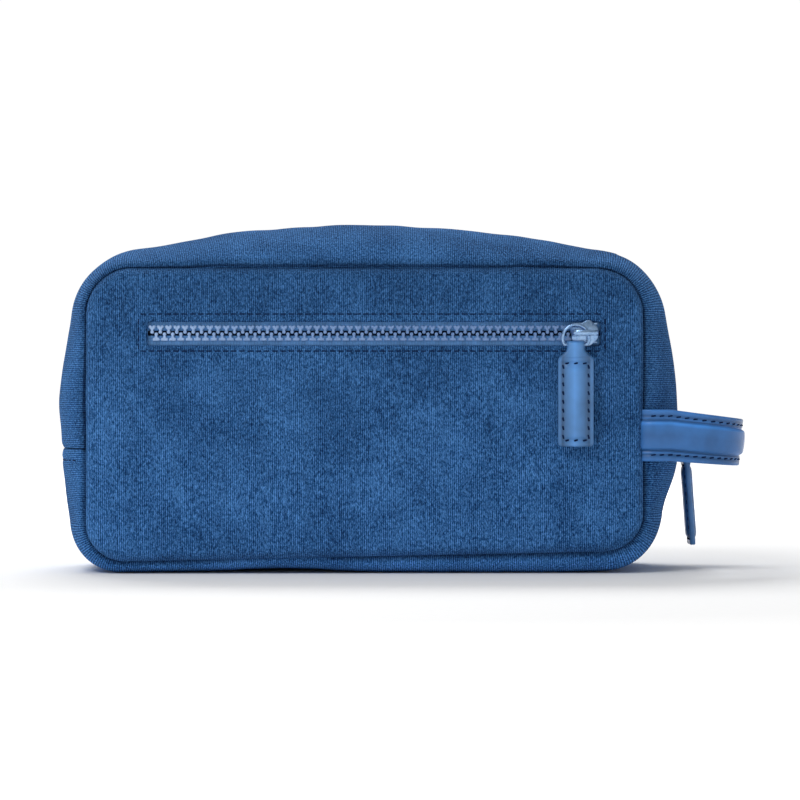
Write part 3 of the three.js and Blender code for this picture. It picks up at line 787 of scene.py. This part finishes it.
def panel_relief(x, z, d, with_slot, seed):
    """Height of the panel's outer face above its seamed edge."""
    roll = min(d, 3.2) / 3.2
    h = 5.6 * math.sqrt(max(0.0, 1 - (1 - roll) ** 2)) + 1.6 * (1 - math.exp(-d / 12))
    free = 1 - math.exp(-d / 9)
    h += free * (0.75 * wander(x, 0, z, 46, seed) + 0.3 * wander(x, 0, z, 17, seed + 1))
    h += 0.28 * math.exp(-((d / 6) ** 2)) * (d > 0.3) * wander(x, 0, z, 4.2, seed + 2)
    if with_slot:
        e = slot_distance(x, z)
        h += 0.55 * math.exp(-((max(e - 1.2, 0) / 3.2) ** 2))
        h -= 0.55 * math.exp(-((stitch_offset(x, z) / 0.75) ** 2))
        if e < 1.3:
            h -= 1.0 * (1 - math.sqrt(max(0.0, 1 - (1 - max(e, 0) / 1.3) ** 2)))
    return h


def inside_by(outline, x, z):
    """How far each point lies inside the outline's tangent lines, one row for each point."""
    x, z = np.reshape(x, (-1, 1)), np.reshape(z, (-1, 1))
    return (outline[:, 0] - x) * outline[:, 2] + (outline[:, 1] - z) * outline[:, 3]


def add_panel(side, name, node, with_slot, seed):
    """A face panel: a flat triangle net that is dense at its edges, raised by panel_relief."""
    outer = outline_loop(0)
    points, edges = [], []

    def add_loop(loop):
        first = len(points)
        points.extend(loop)
        edges.extend((first + k, first + (k + 1) % len(loop)) for k in range(len(loop)))

    insets = (0.0, 0.12, 0.4, 0.8, 1.3, 1.9, 2.6, 3.4, 4.4, 5.8, 7.4)
    for inset in insets:
        add_loop([(p[0], p[1]) for p in outline_loop(inset)])
    if with_slot:
        for off in (0.0, 0.3, 0.65, 1.0, 1.4, 1.9, 2.5, 3.1, 3.7, 4.4):
            add_loop(slot_loop(off))
    ring = outline_loop(insets[-1] + 0.9)
    for gx in np.arange(-SEAM_W, SEAM_W, STEP):
        for gz in np.arange(0, SEAM_TOP, STEP):
            inside = np.all(inside_by(ring, gx, gz) > 0)
            if inside and not (with_slot and slot_distance(gx, gz) < 5.2):
                points.append((gx + 0.2 * math.sin(gz * 7), gz + 0.2 * math.sin(gx * 5)))
    flat, _, triangles, *_ = delaunay_2d_cdt([Vector(p) for p in points], edges, [], 0, 1e-5)
    flat = np.array(flat)
    centres = flat[np.array(triangles)].mean(1)
    held = inside_by(outer, *centres.T).min(1) > -1e-3
    keep = [
        t for t, c, h in zip(triangles, centres, held) if h and not (with_slot and slot_distance(*c) < -1e-3)
    ]
    gaps = inside_by(outer, *flat.T)
    verts = []
    for (x, z), d, k in zip(flat, np.clip(gaps.min(1), 0, None), gaps.argmin(1)):
        h = panel_relief(x, z, d, with_slot, seed)
        push = seam_shift(outer[k, 0], outer[k, 1]) * math.exp(-d / 12) + 0.45 * math.exp(-d / 0.8)
        verts.append((x + outer[k, 2] * push, side * (SEAM_Y + h), z + outer[k, 3] * push))
    obj = make_object(name, verts, keep, M["panel"], outward=False)
    with editing(obj.data) as bm:
        if with_slot:
            turn_slot_edge(bm, side)
        bmesh.ops.recalc_face_normals(bm, faces=bm.faces)
        if sum(f.normal.y * f.calc_area() for f in bm.faces) * side < 0:
            bmesh.ops.reverse_faces(bm, faces=bm.faces)
    obj.data.shade_smooth()
    declare(obj, "terry", "shell", node)


def turn_slot_edge(bm, side):
    """Turns the slot's cut edge to the inside."""
    edges = [e for e in bm.edges if e.is_boundary]
    rim = [e for e in edges if all(slot_distance(v.co.x / MM, v.co.z / MM) < 0.6 for v in e.verts)]
    left, right, low, high = SLOT
    for into, out in ((0.5, -0.12), (0.6, 0.1), (0.7, 0.9)):
        made = bmesh.ops.extrude_edge_only(bm, edges=rim)["geom"]
        for v in [g for g in made if isinstance(g, bmesh.types.BMVert)]:
            x, z = v.co.x / MM, v.co.z / MM
            cx, cz = np.clip(x, left + SLOT_R, right - SLOT_R), np.clip(z, low + SLOT_R, high - SLOT_R)
            away = Vector((x - cx, 0, z - cz)).normalized()
            v.co += (away * out + Vector((0, -side * into, 0))) * MM
        rim = [g for g in made if isinstance(g, bmesh.types.BMEdge)]


def add_lining_panel(side, name, node, seed):
    """The lining behind a face panel: a loose nylon sheet with a few soft folds."""
    low, high = box_mm(node)
    corner = 14
    rows = []
    for x in np.linspace(low.x, high.x, 57):
        cut = max(0.0, abs(x) - (high.x - corner)) / corner
        trim = corner * (1 - math.sqrt(max(0.0, 1 - cut**2))) + 0.6
        zs = np.linspace(low.z + trim, high.z - trim, 29)
        ys = [side * (HALF - 2.4 - 0.5 * (1 + wander(x, 0, z, 24, seed))) for z in zs]
        front = [(x, y, z) for y, z in zip(ys, zs)]
        rows.append(front + [(x, y - side * THIN, z) for _, y, z in front[::-1]])
    sections = np.array(rows)
    obj = make_object(name, *loft_parts(sections), M["lining"])
    declare(obj, "lining", "shell", node)


# ---- zip teeth ----
def tooth_parts(heart):
    """A moulded tooth about its own middle: v = 0 is the chain's centre line and the tape is at +v.
    The rows differ: one has a notched, heart-shaped root and the other a plain wedge."""
    if heart:
        root = [(0.0, 2.7), (0.5, 3.1), (1.1, 3.1), (1.42, 2.7)]
        right = [*root, (1.3, 2.15), (0.72, 1.6), (0.5, 1.25), (0.52, 0.95)]
    else:
        right = [(1.15, 3.1), (1.4, 2.9), (1.4, 2.2), (1.1, 1.95), (0.6, 1.75), (0.5, 1.3), (0.52, 0.95)]
    head = [(0.74 * math.cos(a), 0.42 + 0.74 * math.sin(a)) for a in np.radians(np.linspace(42, -222, 9))]
    left = [(-x, y) for x, y in right[::-1] if x > 0]
    outline = right + head + left
    bm = extruded(outline, 0, 2.35)
    cap = [f for f in bm.faces if f.normal.z > 0.9]
    bmesh.ops.inset_region(bm, faces=cap, thickness=0.2, depth=0.0, use_even_offset=True)
    inner = [v for f in bm.faces if f.normal.z > 0.9 and len(f.verts) > 8 for v in f.verts]
    bmesh.ops.translate(bm, vec=(0, 0, 0.22), verts=list(set(inner)))
    triangulate_large(bm)
    return mesh_parts(bm)


TEETH = {1: tooth_parts(True), -1: tooth_parts(False)}


def teeth_object(name, side, places):
    """Teeth at the given places: (point, along, across towards the tape, out)."""
    parts = []
    for point, *axes in places:
        turn = Matrix([Vector(a) for a in axes]).transposed().to_4x4()
        parts.append(placed(TEETH[side], Matrix.Translation(Vector(point)) @ turn))
    return make_object(name, *merge_parts(parts), M["teeth"], smooth=False, outward=False)


def add_pocket_zip():
    for side, row in ((1, "upper"), (-1, "lower")):
        start = CHAIN_X[0] + 1.3 + (PITCH / 2 if side < 0 else 0)
        xs = np.arange(start, CHAIN_X[1] - 1.0, PITCH)
        places = [((x, 3.75 - FACE, CHAIN_Z), (1, 0, 0), (0, 0, side), (0, -1, 0)) for x in xs]
        obj = teeth_object(f"pocket_zip_teeth_{row}", side, places)
        declare(obj, "teeth", "shell", f"pocket_teeth_{row}")
        low, high = box_mm(f"pocket_tape_{row}")
        zs = np.linspace(CHAIN_Z + 1.0 * side, high.z if side > 0 else low.z, 14)[::side]
        rows = []
        for x in np.linspace(low.x, high.x, 90):
            wave = 0.12 * wander(x, 0, side * 30, 12, 8)
            # a corded edge beside the teeth
            cord = [0.35 * math.exp(-(((z - CHAIN_Z) * side - 3.4) / 0.5) ** 2) for z in zs]
            outer = [(x, low.y - c + wave, z) for z, c in zip(zs, cord)]
            rows.append(outer + [(x, high.y + wave, z) for z in zs[::-1]])
        sections = np.array(rows)
        tape = make_object(f"pocket_zip_tape_{row}", *loft_parts(sections), M["tape"])
        declare(tape, "tape", "shell", f"pocket_tape_{row}")


def station_frame(s):
    """On the zip's line at a length along it: x, z, normal x and z, the bulge and the zip's direction."""
    path, bulge, along = ZIP_TRACK

    def at(s):
        return [np.interp(s, along, column) for column in (*path.T, bulge)]

    def out(s):
        x, z, nx, nz, b = at(s)
        return np.array((x + nx * b, z + nz * b))

    ahead = out(s + 0.5) - out(s - 0.5)
    return *at(s), Vector((ahead[0], 0, ahead[1])).normalized()


def add_main_teeth():
    path, bulge, along = ZIP_TRACK
    travelled = length_along(path[:, :2] + path[:, 2:] * bulge[:, None])
    middle = travelled[MIDDLE]
    end = travelled[-1] - 12.5
    for side, side_name in SIDES:
        places = {"left": [], "right": []}
        for d in np.arange(5.5 + (0 if side > 0 else PITCH / 2), end, PITCH):
            x, z, nx, nz, b, tangent = station_frame(np.interp(d, travelled, along))
            out = Vector((-tangent.z, 0, tangent.x))
            level = b - 4.0  # the teeth's feet, below the cloth
            across = Vector((0, -side, 0))
            place = ((x + nx * level, 0.0, z + nz * level), across.cross(out), across, out)
            places["left" if d <= middle else "right"].append(place)
        for half, half_places in places.items():
            obj = teeth_object(f"{side_name}_main_teeth_{half}", side, half_places)
            finish_strip(obj, half, side_name, "teeth", "teeth")


# ---- sliders, rings and pulls ----
RING_R = 5.2
RING_FLAT = 4.4
RING_DROP = math.sqrt(RING_R**2 - RING_FLAT**2)
WIRE_R = 0.7
RING_OUT = 3.95
PULL_LENGTH = 40.6
PULL_HALF = 7.1
NECK_HALF = 3.6


def tube_parts(points, radius, sides=10):
    """A round wire along a closed line in a plane whose normal is Z."""
    points = np.asarray(points, float)
    n = len(points)
    rings = []
    for i in range(n):
        ahead = points[(i + 1) % n] - points[i - 1]
        tangent = Vector(ahead).normalized()
        side = tangent.cross(Vector((0, 0, 1))).normalized()
        rings.append(
            [
                points[i] + radius * (math.cos(a) * np.array(side) + math.sin(a) * np.array((0, 0, 1.0)))
                for a in np.linspace(0, 2 * math.pi, sides, endpoint=False)
            ]
        )
    verts = np.array(rings).reshape(-1, 3)
    faces = []
    for r in range(n):
        for c in range(sides):
            a, b = r * sides, ((r + 1) % n) * sides
            faces.append((a + c, a + (c + 1) % sides, b + (c + 1) % sides, b + c))
    return verts, faces


def ring_parts():
    start = math.asin(-RING_DROP / RING_R)
    angles = np.linspace(start, math.pi - start, 44)
    arc = [(RING_R * math.cos(a), RING_R * math.sin(a), 0) for a in angles]
    flat = [(u * RING_FLAT, -RING_DROP, 0) for u in (-0.9, -0.5, 0, 0.5, 0.9)]
    return tube_parts(arc + flat, WIRE_R)


def bridge_parts():
    """The slider's arched bar, which the ring passes under."""
    line = [(-4.9, 1.3), (-4.95, 2.6), (-4.7, 4.4), (-4.1, 5.4), (-3.0, 5.85), (0, 5.95), (3.0, 5.85), (4.1, 5.4),
            (4.75, 4.4), (5.0, 2.6), (5.0, 1.3)]
    rows = []
    for i, (x, z) in enumerate(line):
        px, pz = line[max(i - 1, 0)]
        qx, qz = line[min(i + 1, len(line) - 1)]
        tangent = Vector((qx - px, 0, qz - pz)).normalized()
        out = Vector((-tangent.z, 0, tangent.x))
        half_w = 1.1 + 0.25 * (i in (0, len(line) - 1))
        rows.append(
            [
                np.array((x, 0, z))
                + np.array((0, 1, 0)) * half_w * math.copysign(abs(math.cos(a)) ** 0.6, math.cos(a))
                + np.array(out) * 0.55 * math.copysign(abs(math.sin(a)) ** 0.8, math.sin(a))
                for a in np.linspace(0, 2 * math.pi, 12, endpoint=False)
            ]
        )
    return loft_parts(rows)


def slider_parts(depth):
    """Body plates, side walls, the nose above the teeth, and the bridge. The teeth run between the
    plates, of which the lower one lies at the given depth."""
    wing = [(-5.3, 2.7), (-4.6, 3.5), (-1.6, 3.9), (0.6, 5.0), (1.5, 5.25), (2.4, 4.9), (5.0, 2.5), (5.35, 1.2)]
    outline = wing + [(x, -y) for x, y in wing[::-1]]
    inner = [(x * 0.97, y * 0.8) for x, y in outline]
    walls = [
        block_outline([(-5.1, s * 3.35), (5.0, s * 3.35), (5.0, s * 4.05), (-5.1, s * 4.05)], -1.9, 0.6, 0.15, 1)
        for s in (1, -1)
    ]
    low = block_outline(inner, -depth - 1, -depth, 0.3, 2)
    nose = block_outline([(1.6, 0), (3.4, 0.85), (4.9, 0.5), (4.9, -0.5), (3.4, -0.85)], -0.85, 0.6, 0.1, 1)
    top = block_outline(outline, 0.35, 1.5, 0.4, 3, crown=0.35)
    knob = block_outline([(-5.2, 1.3), (-3.4, 1.5), (-3.4, -1.5), (-5.2, -1.3)], 1.2, 2.4, 0.35, 2)
    return merge_parts([top, low, nose, knob, bridge_parts(), *walls])


def pull_width(y):
    """Half the leather's width at y below the ring's straight stretch."""
    if y > -1.8:
        return NECK_HALF - 0.15 * math.cos(y)
    if y > -6.2:
        u = (-1.8 - y) / 4.4
        return NECK_HALF + (PULL_HALF - NECK_HALF) * (0.5 - 0.5 * math.cos(math.pi * u)) ** 0.85
    r = 1.7
    low = y + PULL_LENGTH
    if low < r:
        return PULL_HALF - r + math.sqrt(max(0.0, r * r - (r - low) ** 2))
    return PULL_HALF


STITCH_IN = 2.05  # the pull's stitches stand this far in from its edge
STITCH_TOP, STITCH_LOW = -7.4, -(PULL_LENGTH - 2.5)


def pull_height(u, x, y, w):
    """Height of the leather's face above its middle: flat at the rim, a groove under the stitches and
    a soft pad inside them."""
    h = 1.75
    if y < -6:
        h = 1.2
        gx = PULL_HALF - STITCH_IN - abs(x)
        gy = min(STITCH_TOP - y, y - STITCH_LOW)
        inside = min(gx, gy)
        if inside > -0.5:
            h += 0.6 * (1 - math.exp(-max(inside - 0.45, 0) / 0.6))
            h += 0.45 * max(0.0, 1 - (x / (PULL_HALF - STITCH_IN)) ** 2) * min(1, max(gy, 0) / 3)
        h -= 0.35 * math.exp(-((inside / 0.55) ** 2)) * (gx > -0.8) * (gy > -0.8)
        h += 0.4 * math.exp(-((y + 6.0) / 1.2) ** 2)
    else:
        h += 0.5 * (1 - (x / w) ** 2) * (y > -5)
    edge = max(0.0, (abs(x) - (w - 0.75)) / 0.75)
    h *= math.sqrt(max(0.0, 1 - 0.85 * edge**2)) if y > -6 else 1
    return h


def pull_parts():
    """The folded and sewn leather pull, about the ring's straight stretch."""
    ys = np.concatenate([
        1.45 - 0.9 * (1 - np.cos(np.linspace(0, math.pi / 2, 5))),
        np.linspace(0.2, -7.0, 22),
        np.linspace(-7.2, STITCH_LOW - 0.4, 66),
        -PULL_LENGTH + 1.9 * (1 - np.sin(np.linspace(0, math.pi / 2, 9))),
    ])
    rows = []
    for y in ys:
        w = pull_width(y)
        cap = math.sqrt(max(0.0, 1 - (max(y, 0) / 1.46) ** 2))
        us = np.linspace(-1, 1, 27)
        front, back = [], []
        for u in us:
            x = u * w
            close = 1 - abs(u) ** 14
            end = min(1.0, (y + PULL_LENGTH) / 0.5) if y < -PULL_LENGTH + 0.5 else 1.0
            rim = 0.55 + 0.45 * math.sqrt(max(0.0, close * end))
            h = pull_height(u, x, y, w) * cap * rim
            front.append((x, y, h))
            back.append((x, y, -h))
        rows.append(front + back[::-1])
    return loft_parts(rows)


def pull_stitch_places():
    half = PULL_HALF - STITCH_IN
    places = []
    count = 9
    for k in range(count):
        y = STITCH_TOP - 1.4 + (STITCH_LOW - STITCH_TOP + 2.8) * k / (count - 1)
        for sx in (1, -1):
            places.append(((sx * half, y), (0, 1)))
    for x in np.linspace(-half + 1.5, half - 1.5, 3):
        places += [((x, STITCH_TOP), (1, 0)), ((x, STITCH_LOW), (1, 0))]
    level = 1.02  # of the groove that they lie in
    faces = (1, -1)
    return [((x, y, face * level), (*along, 0), (0, 0, face)) for (x, y), along in places for face in faces]


def place_set(prefix, frame_matrix, ring_at, ring_turn, depth, bodies):
    """A slider, its ring and its leather pull, from the slider's own frame."""
    ring_matrix = frame_matrix @ Matrix.Translation((*ring_at, RING_OUT)) @ Matrix.Rotation(ring_turn, 4, "Z")
    pull_matrix = ring_matrix @ Matrix.Translation((0, -RING_DROP, 0))
    metal, leather_slot = (M["metal"], "slider_metal"), (M["pull"], "pull_leather")
    pieces = (
        ("slider_body", slider_parts(depth), metal, "slider", frame_matrix, 38),
        ("wire_ring", ring_parts(), metal, "pull_ring", ring_matrix, 0),
        ("leather_pull", pull_parts(), leather_slot, "pull_leather", pull_matrix, 0),
    )
    for body, (name, parts, (look, slot), node, matrix, sharp) in zip(bodies, pieces):
        flat = parts[0][:, :2] if name == "leather_pull" else None
        obj = make_object(f"{prefix}_{name}", *placed(parts, matrix), look, flat, sharp=sharp)
        declare(obj, slot, body, f"{prefix}_{node}")
    sewn = placed(stitches(pull_stitch_places(), 1.7, 0.38, 0.3), pull_matrix)
    declare(make_object(f"{prefix}_pull_stitches", *sewn, M["thread_dark"]), "pull_leather", bodies[2])


def add_sliders():
    low, high = box_mm("pocket_slider")
    pocket = Matrix.Translation(((low.x + high.x) / 2, -FACE, CHAIN_Z)) @ Matrix.Rotation(math.pi / 2, 4, "X")
    place_set("pocket", pocket, (-3.8, -2.0), 0.0, 4.8, ("pocket_slider", "pocket_ring", "pocket_pull"))
    joints = {j["name"]: j for j in frame["joints"]}
    along = -Vector(joints["main_slide"]["axis"]).normalized()
    out = Vector((-along.z, 0, along.x))
    across = out.cross(along)
    origin = Vector(joints["main_ring_swing"]["pos_m"]) / MM - out * RING_OUT + along * 0.1
    basis = Matrix((along, across, out)).transposed().to_4x4()
    main = Matrix.Translation(origin) @ basis
    place_set("main", main, (RING_R - 0.1, 0.0), math.pi / 2, 5.5, ("main_slider", "main_ring", "main_pull"))


# ---- loop handle ----
STRAP_START = 109.2  # where the loop leaves the side seams
STRAP_ARM = 47.5
STRAP_REACH = 151.85
STRAP_BEND = 18.5
STRAP_STITCH_IN = 2.6  # the loop's stitches stand this far in from its edges
STRAP_Z = 55.4


def strap_line():
    """The loop's middle line in plan with its outward normals, from the front seam to the rear one."""
    bx, by = STRAP_REACH - STRAP_BEND, STRAP_ARM - STRAP_BEND
    xs = np.arange(STRAP_START, bx - 0.5, 1.5)
    front = [(x, -STRAP_ARM + 2.6 * math.exp(-((x - 107.0) / 5.0) ** 2), 0, -1) for x in xs]
    for a in np.linspace(-90, 0, 22):
        c, s = math.cos(math.radians(a)), math.sin(math.radians(a))
        front.append((bx + STRAP_BEND * c, -by + STRAP_BEND * s, c, s))
    side = [(STRAP_REACH, y, 1, 0) for y in np.arange(-by + 1.5, by - 0.7, 1.5)]
    rear = [(x, -y, nx, -ny) for x, y, nx, ny in front[::-1]]
    return front + side + rear


def strap_place(x):
    """Middle height and half width of the loop at x."""
    out = min(1, max(0, (x - 122.6) / (153.7 - 122.6)))
    return STRAP_Z - 3.2 * out, (20.8 - 2.0 * out) / 2


def strap_lean(x):
    """How far the loop leans outwards for each millimetre up."""
    return 0.09 * min(1, max(0, (x - 118) / 20))


def strap_profile(half):
    """Points round the loop's section: (offset outwards, height). Edge bands, grooves and a padded middle."""
    def face(v, pad):
        edge = half - abs(v)
        h = 1.25 + 0.85 * pad * (1 / (1 + math.exp(-(edge - 4.7) / 0.22)))
        h += 0.5 * pad * max(0.0, 1 - (v / (half - 4.2)) ** 2)
        h -= 0.45 * math.exp(-(((edge - 4.1) / 0.4) ** 2))
        h -= 0.25 * math.exp(-(((edge - 2.6) / 0.5) ** 2))
        if edge < 0.7:
            h *= 0.5 + 0.5 * math.sqrt(max(0.0, 1 - (1 - edge / 0.7) ** 2))
        return h

    rim = [np.linspace(-half, -half + 0.8, 4), np.linspace(half - 0.8, half, 4)]
    vs = np.concatenate([rim[0], np.linspace(-half + 1.1, half - 1.1, 61), rim[1]])
    outer = [(face(v, 1.0), v) for v in vs]
    inner = [(-face(v, 0.45), v) for v in vs[::-1]]
    return outer + inner


def add_handle():
    line = strap_line()
    rows, stitch_rows = [], []
    travelled = 0.0
    last = None
    for x, y, nx, ny in line:
        z, half = strap_place(x)
        thick = min(1.0, 0.45 + 0.55 * (x - STRAP_START) / 4.5)  # pinched where it is sewn in
        offsets = [(thick * o + strap_lean(x) * v, v) for o, v in strap_profile(half)]
        rows.append([(x + nx * o, y + ny * o, z + v) for o, v in offsets])
        if last is not None:
            travelled += math.hypot(x - last[0], y - last[1])
        last = (x, y)
        stitch_rows.append((travelled, x, y, nx, ny, z, half))
    sections = np.array(rows)
    at = np.array(stitch_rows)
    places = []
    for d in np.arange(7.0, at[-1, 0] - 6.0, 3.36):
        x, y, nx, ny, z, half = (np.interp(d, at[:, 0], at[:, k]) for k in range(1, 7))
        x2, y2 = (np.interp(d + 0.5, at[:, 0], at[:, k]) for k in (1, 2))
        along = (x2 - x, y2 - y, 0)
        for up in (1, -1):
            for face, lift in ((1, 1.05), (-1, -1.05)):
                level = up * (half - STRAP_STITCH_IN)
                off = lift + strap_lean(x) * up * (half - STRAP_STITCH_IN)
                point = (x + nx * off, y + ny * off, z + level)
                places.append((point, along, (nx * face, ny * face, 0)))
    verts, faces = loft_parts(sections)
    heights = np.array([[v for _, v in strap_profile(strap_place(x)[1])] for x, *_ in line])
    flat = np.stack([np.repeat(at[:, :1], heights.shape[1], 1), heights], 2).reshape(-1, 2)
    obj = make_object("handle_strap", verts, faces, M["strap"], flat)
    declare(obj, "strap_leather", None, "handle_outer_leather", "handle_filler", "handle_inner_leather")
    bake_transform(obj)
    sewn = make_object("handle_stitches", *stitches(places, 2.0, 0.33, 0.15), M["thread_dark"])
    declare(sewn, "strap_leather", None)
    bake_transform(sewn)


# ---- topstitching on the cloth ----
def add_slot_stitches():
    x0, x1, z0, z1 = STITCH_BOX
    places = [((x, z), (1, 0, 0)) for x in np.arange(x0 + 1.8, x1 - 1, PITCH) for z in (z0, z1)]
    places += [((x, z), (0, 0, 1)) for z in np.arange(z0 + 1.9, z1 - 1, PITCH) for x in (x0, x1)]
    outer = outline_loop(0)
    made = []
    for (x, z), along in places:
        h = panel_relief(x, z, inside_by(outer, x, z).min(), True, FRONT_SEED)
        made.append(((x, -(SEAM_Y + h + 0.02), z), along, (0, -1, 0)))
    obj = make_object("pocket_topstitching", *stitches(made, 2.4, 0.32), M["thread"])
    declare(obj, "terry", "shell")


def add_zip_stitches():
    """Topstitching beside the main zip, and under both side joins."""
    length = ZIP_TRACK[2][-1]
    for side, side_name in SIDES:
        for half, rows in HALVES.items():
            first, last = ZIP_TRACK[2][rows[0]], ZIP_TRACK[2][rows[-1]]
            places = []
            for s in np.arange(max(first, 3.0), min(last, length - 3.0), PITCH * 0.96):
                x, z, nx, nz, b, tangent = station_frame(s)
                t = -STITCH_OFF / HALF
                ripple = gusset_ripple(s, t, x, z, side) - 0.4
                p = shell_point((x, z, nx, nz), b, t, -0.05, ZIP_FLAT, ZIP_POWER, ripple)
                p[1] *= side
                places.append((p, tangent, Vector((-tangent.z, 0, tangent.x))))
            name = f"{side_name}_mouth_topstitching_{half}"
            obj = make_object(name, *stitches(places, 2.4, 0.24), M["thread"])
            declare(obj, "terry", None)
            blend_half(obj)
    places = []
    path, bulge, along = BASE_TRACK
    for end in (JOIN_STITCH, along[-1] - JOIN_STITCH):
        *station, b = (np.interp(end, along, column) for column in (*path.T, bulge))
        for y in np.arange(-42, 42.1, PITCH):
            t = y / HALF
            ripple = gusset_ripple(end + BASE_WAVES, t, 0, 0, 2, 0.7) + 0.15
            p, q = (shell_point(station, b, u, -0.02, 0.1, 2.3, ripple) for u in (t, t + 0.02))
            direction = Vector(q - p).normalized()
            normal = Vector((0, 0, 1)).cross(direction)
            places.append((p, direction, normal if normal.x * station[2] > 0 else -normal))
    obj = make_object("side_join_topstitching", *stitches(places, 2.4, 0.24), M["thread"])
    declare(obj, "terry", "shell")


# ---- build ----
add_panel(-1, "front_panel_cloth", "front_panel", True, FRONT_SEED)
add_panel(1, "rear_panel_cloth", "rear_panel", False, 21)
add_zip_gusset()
add_base()
add_lining_panel(-1, "front_lining_cloth", "front_panel_lining", 31)
add_lining_panel(1, "rear_lining_cloth", "rear_panel_lining", 41)
add_pocket_zip()
add_main_teeth()
add_sliders()
add_handle()
add_slot_stitches()
add_zip_stitches()


# ---- stage ----
def add_floor():
    """A pale round floor, wide enough to run out of sight."""
    turn = np.linspace(0, 2 * math.pi, 72, endpoint=False)
    n = Nodes("studio_floor")
    grain = n.noise(n.coords(), 300.0, 2.0)
    radius = n.add("VectorMath", {0: n.coords()}, operation="LENGTH").outputs["Value"]
    # painted light: the floor glows more away from the bag, like a sweep that is lit from below
    glow = n.add("MapRange", {"Value": radius, "From Min": 0.3, "From Max": 0.9, "To Max": 0.7}).outputs[0]
    colour = n.ramp(grain, (0.0, grey(0.93)), (1.0, grey(0.97)))
    look = n.finish(
        Base_Color=colour, Roughness=0.95, Specular_IOR_Level=0.0, Emission_Color=grey(1), Emission_Strength=glow
    )
    ring = [(8000 * math.cos(a), 8000 * math.sin(a), -0.3) for a in turn]
    floor = make_object("studio_floor", ring, [range(72)], look)


def add_light(name, location, size, power):
    data = bpy.data.lights.new(name, "AREA")
    data.shape = "RECTANGLE"
    data.size, data.size_y = size
    data.energy = power
    obj = bpy.data.objects.new(name, data)
    obj.location = location
    obj.rotation_euler = (Vector((0, 0, 0.07)) - Vector(location)).to_track_quat("-Z", "Y").to_euler()
    bpy.context.scene.collection.objects.link(obj)


def add_studio():
    add_floor()
    add_light("softbox_back", (-0.2, 0.7, 1.0), (0.8, 0.4), 9.5)
    add_light("softbox_left", (-0.6, -1.0, 1.05), (0.6, 0.6), 9.2)
    world = bpy.data.worlds.new("studio_world")
    world.use_nodes = True
    tree = world.node_tree
    background = tree.nodes["Background"]
    direction = tree.nodes.new("ShaderNodeTexCoord").outputs["Generated"]
    split = tree.nodes.new("ShaderNodeSeparateXYZ")
    tree.links.new(direction, split.inputs[0])
    ramp = tree.nodes.new("ShaderNodeValToRGB")
    tree.links.new(split.outputs["Z"], ramp.inputs["Fac"])
    levels = ((0.14, 0.7), (0.22, 0.14), (0.6, 0.14), (0.8, 0.4))
    set_stops(ramp.color_ramp.elements, [(position, grey(level)) for position, level in levels])
    tree.links.new(ramp.outputs["Color"], background.inputs["Color"])
    background.inputs["Strength"].default_value = 1.45
    bpy.context.scene.world = world
    bpy.context.scene.view_settings.view_transform = "Standard"


def add_camera():
    data = bpy.data.cameras.new("camera")
    data.sensor_width = 36
    data.lens = 135
    data.clip_start, data.clip_end = 0.05, 20
    camera = bpy.data.objects.new("camera", data)
    camera.location = (0.0142, -(FACE * MM + 1.2), 0.0696)
    camera.rotation_euler = (math.pi / 2, 0, 0)
    bpy.context.scene.collection.objects.link(camera)
    bpy.context.scene.camera = camera


add_studio()
add_camera()
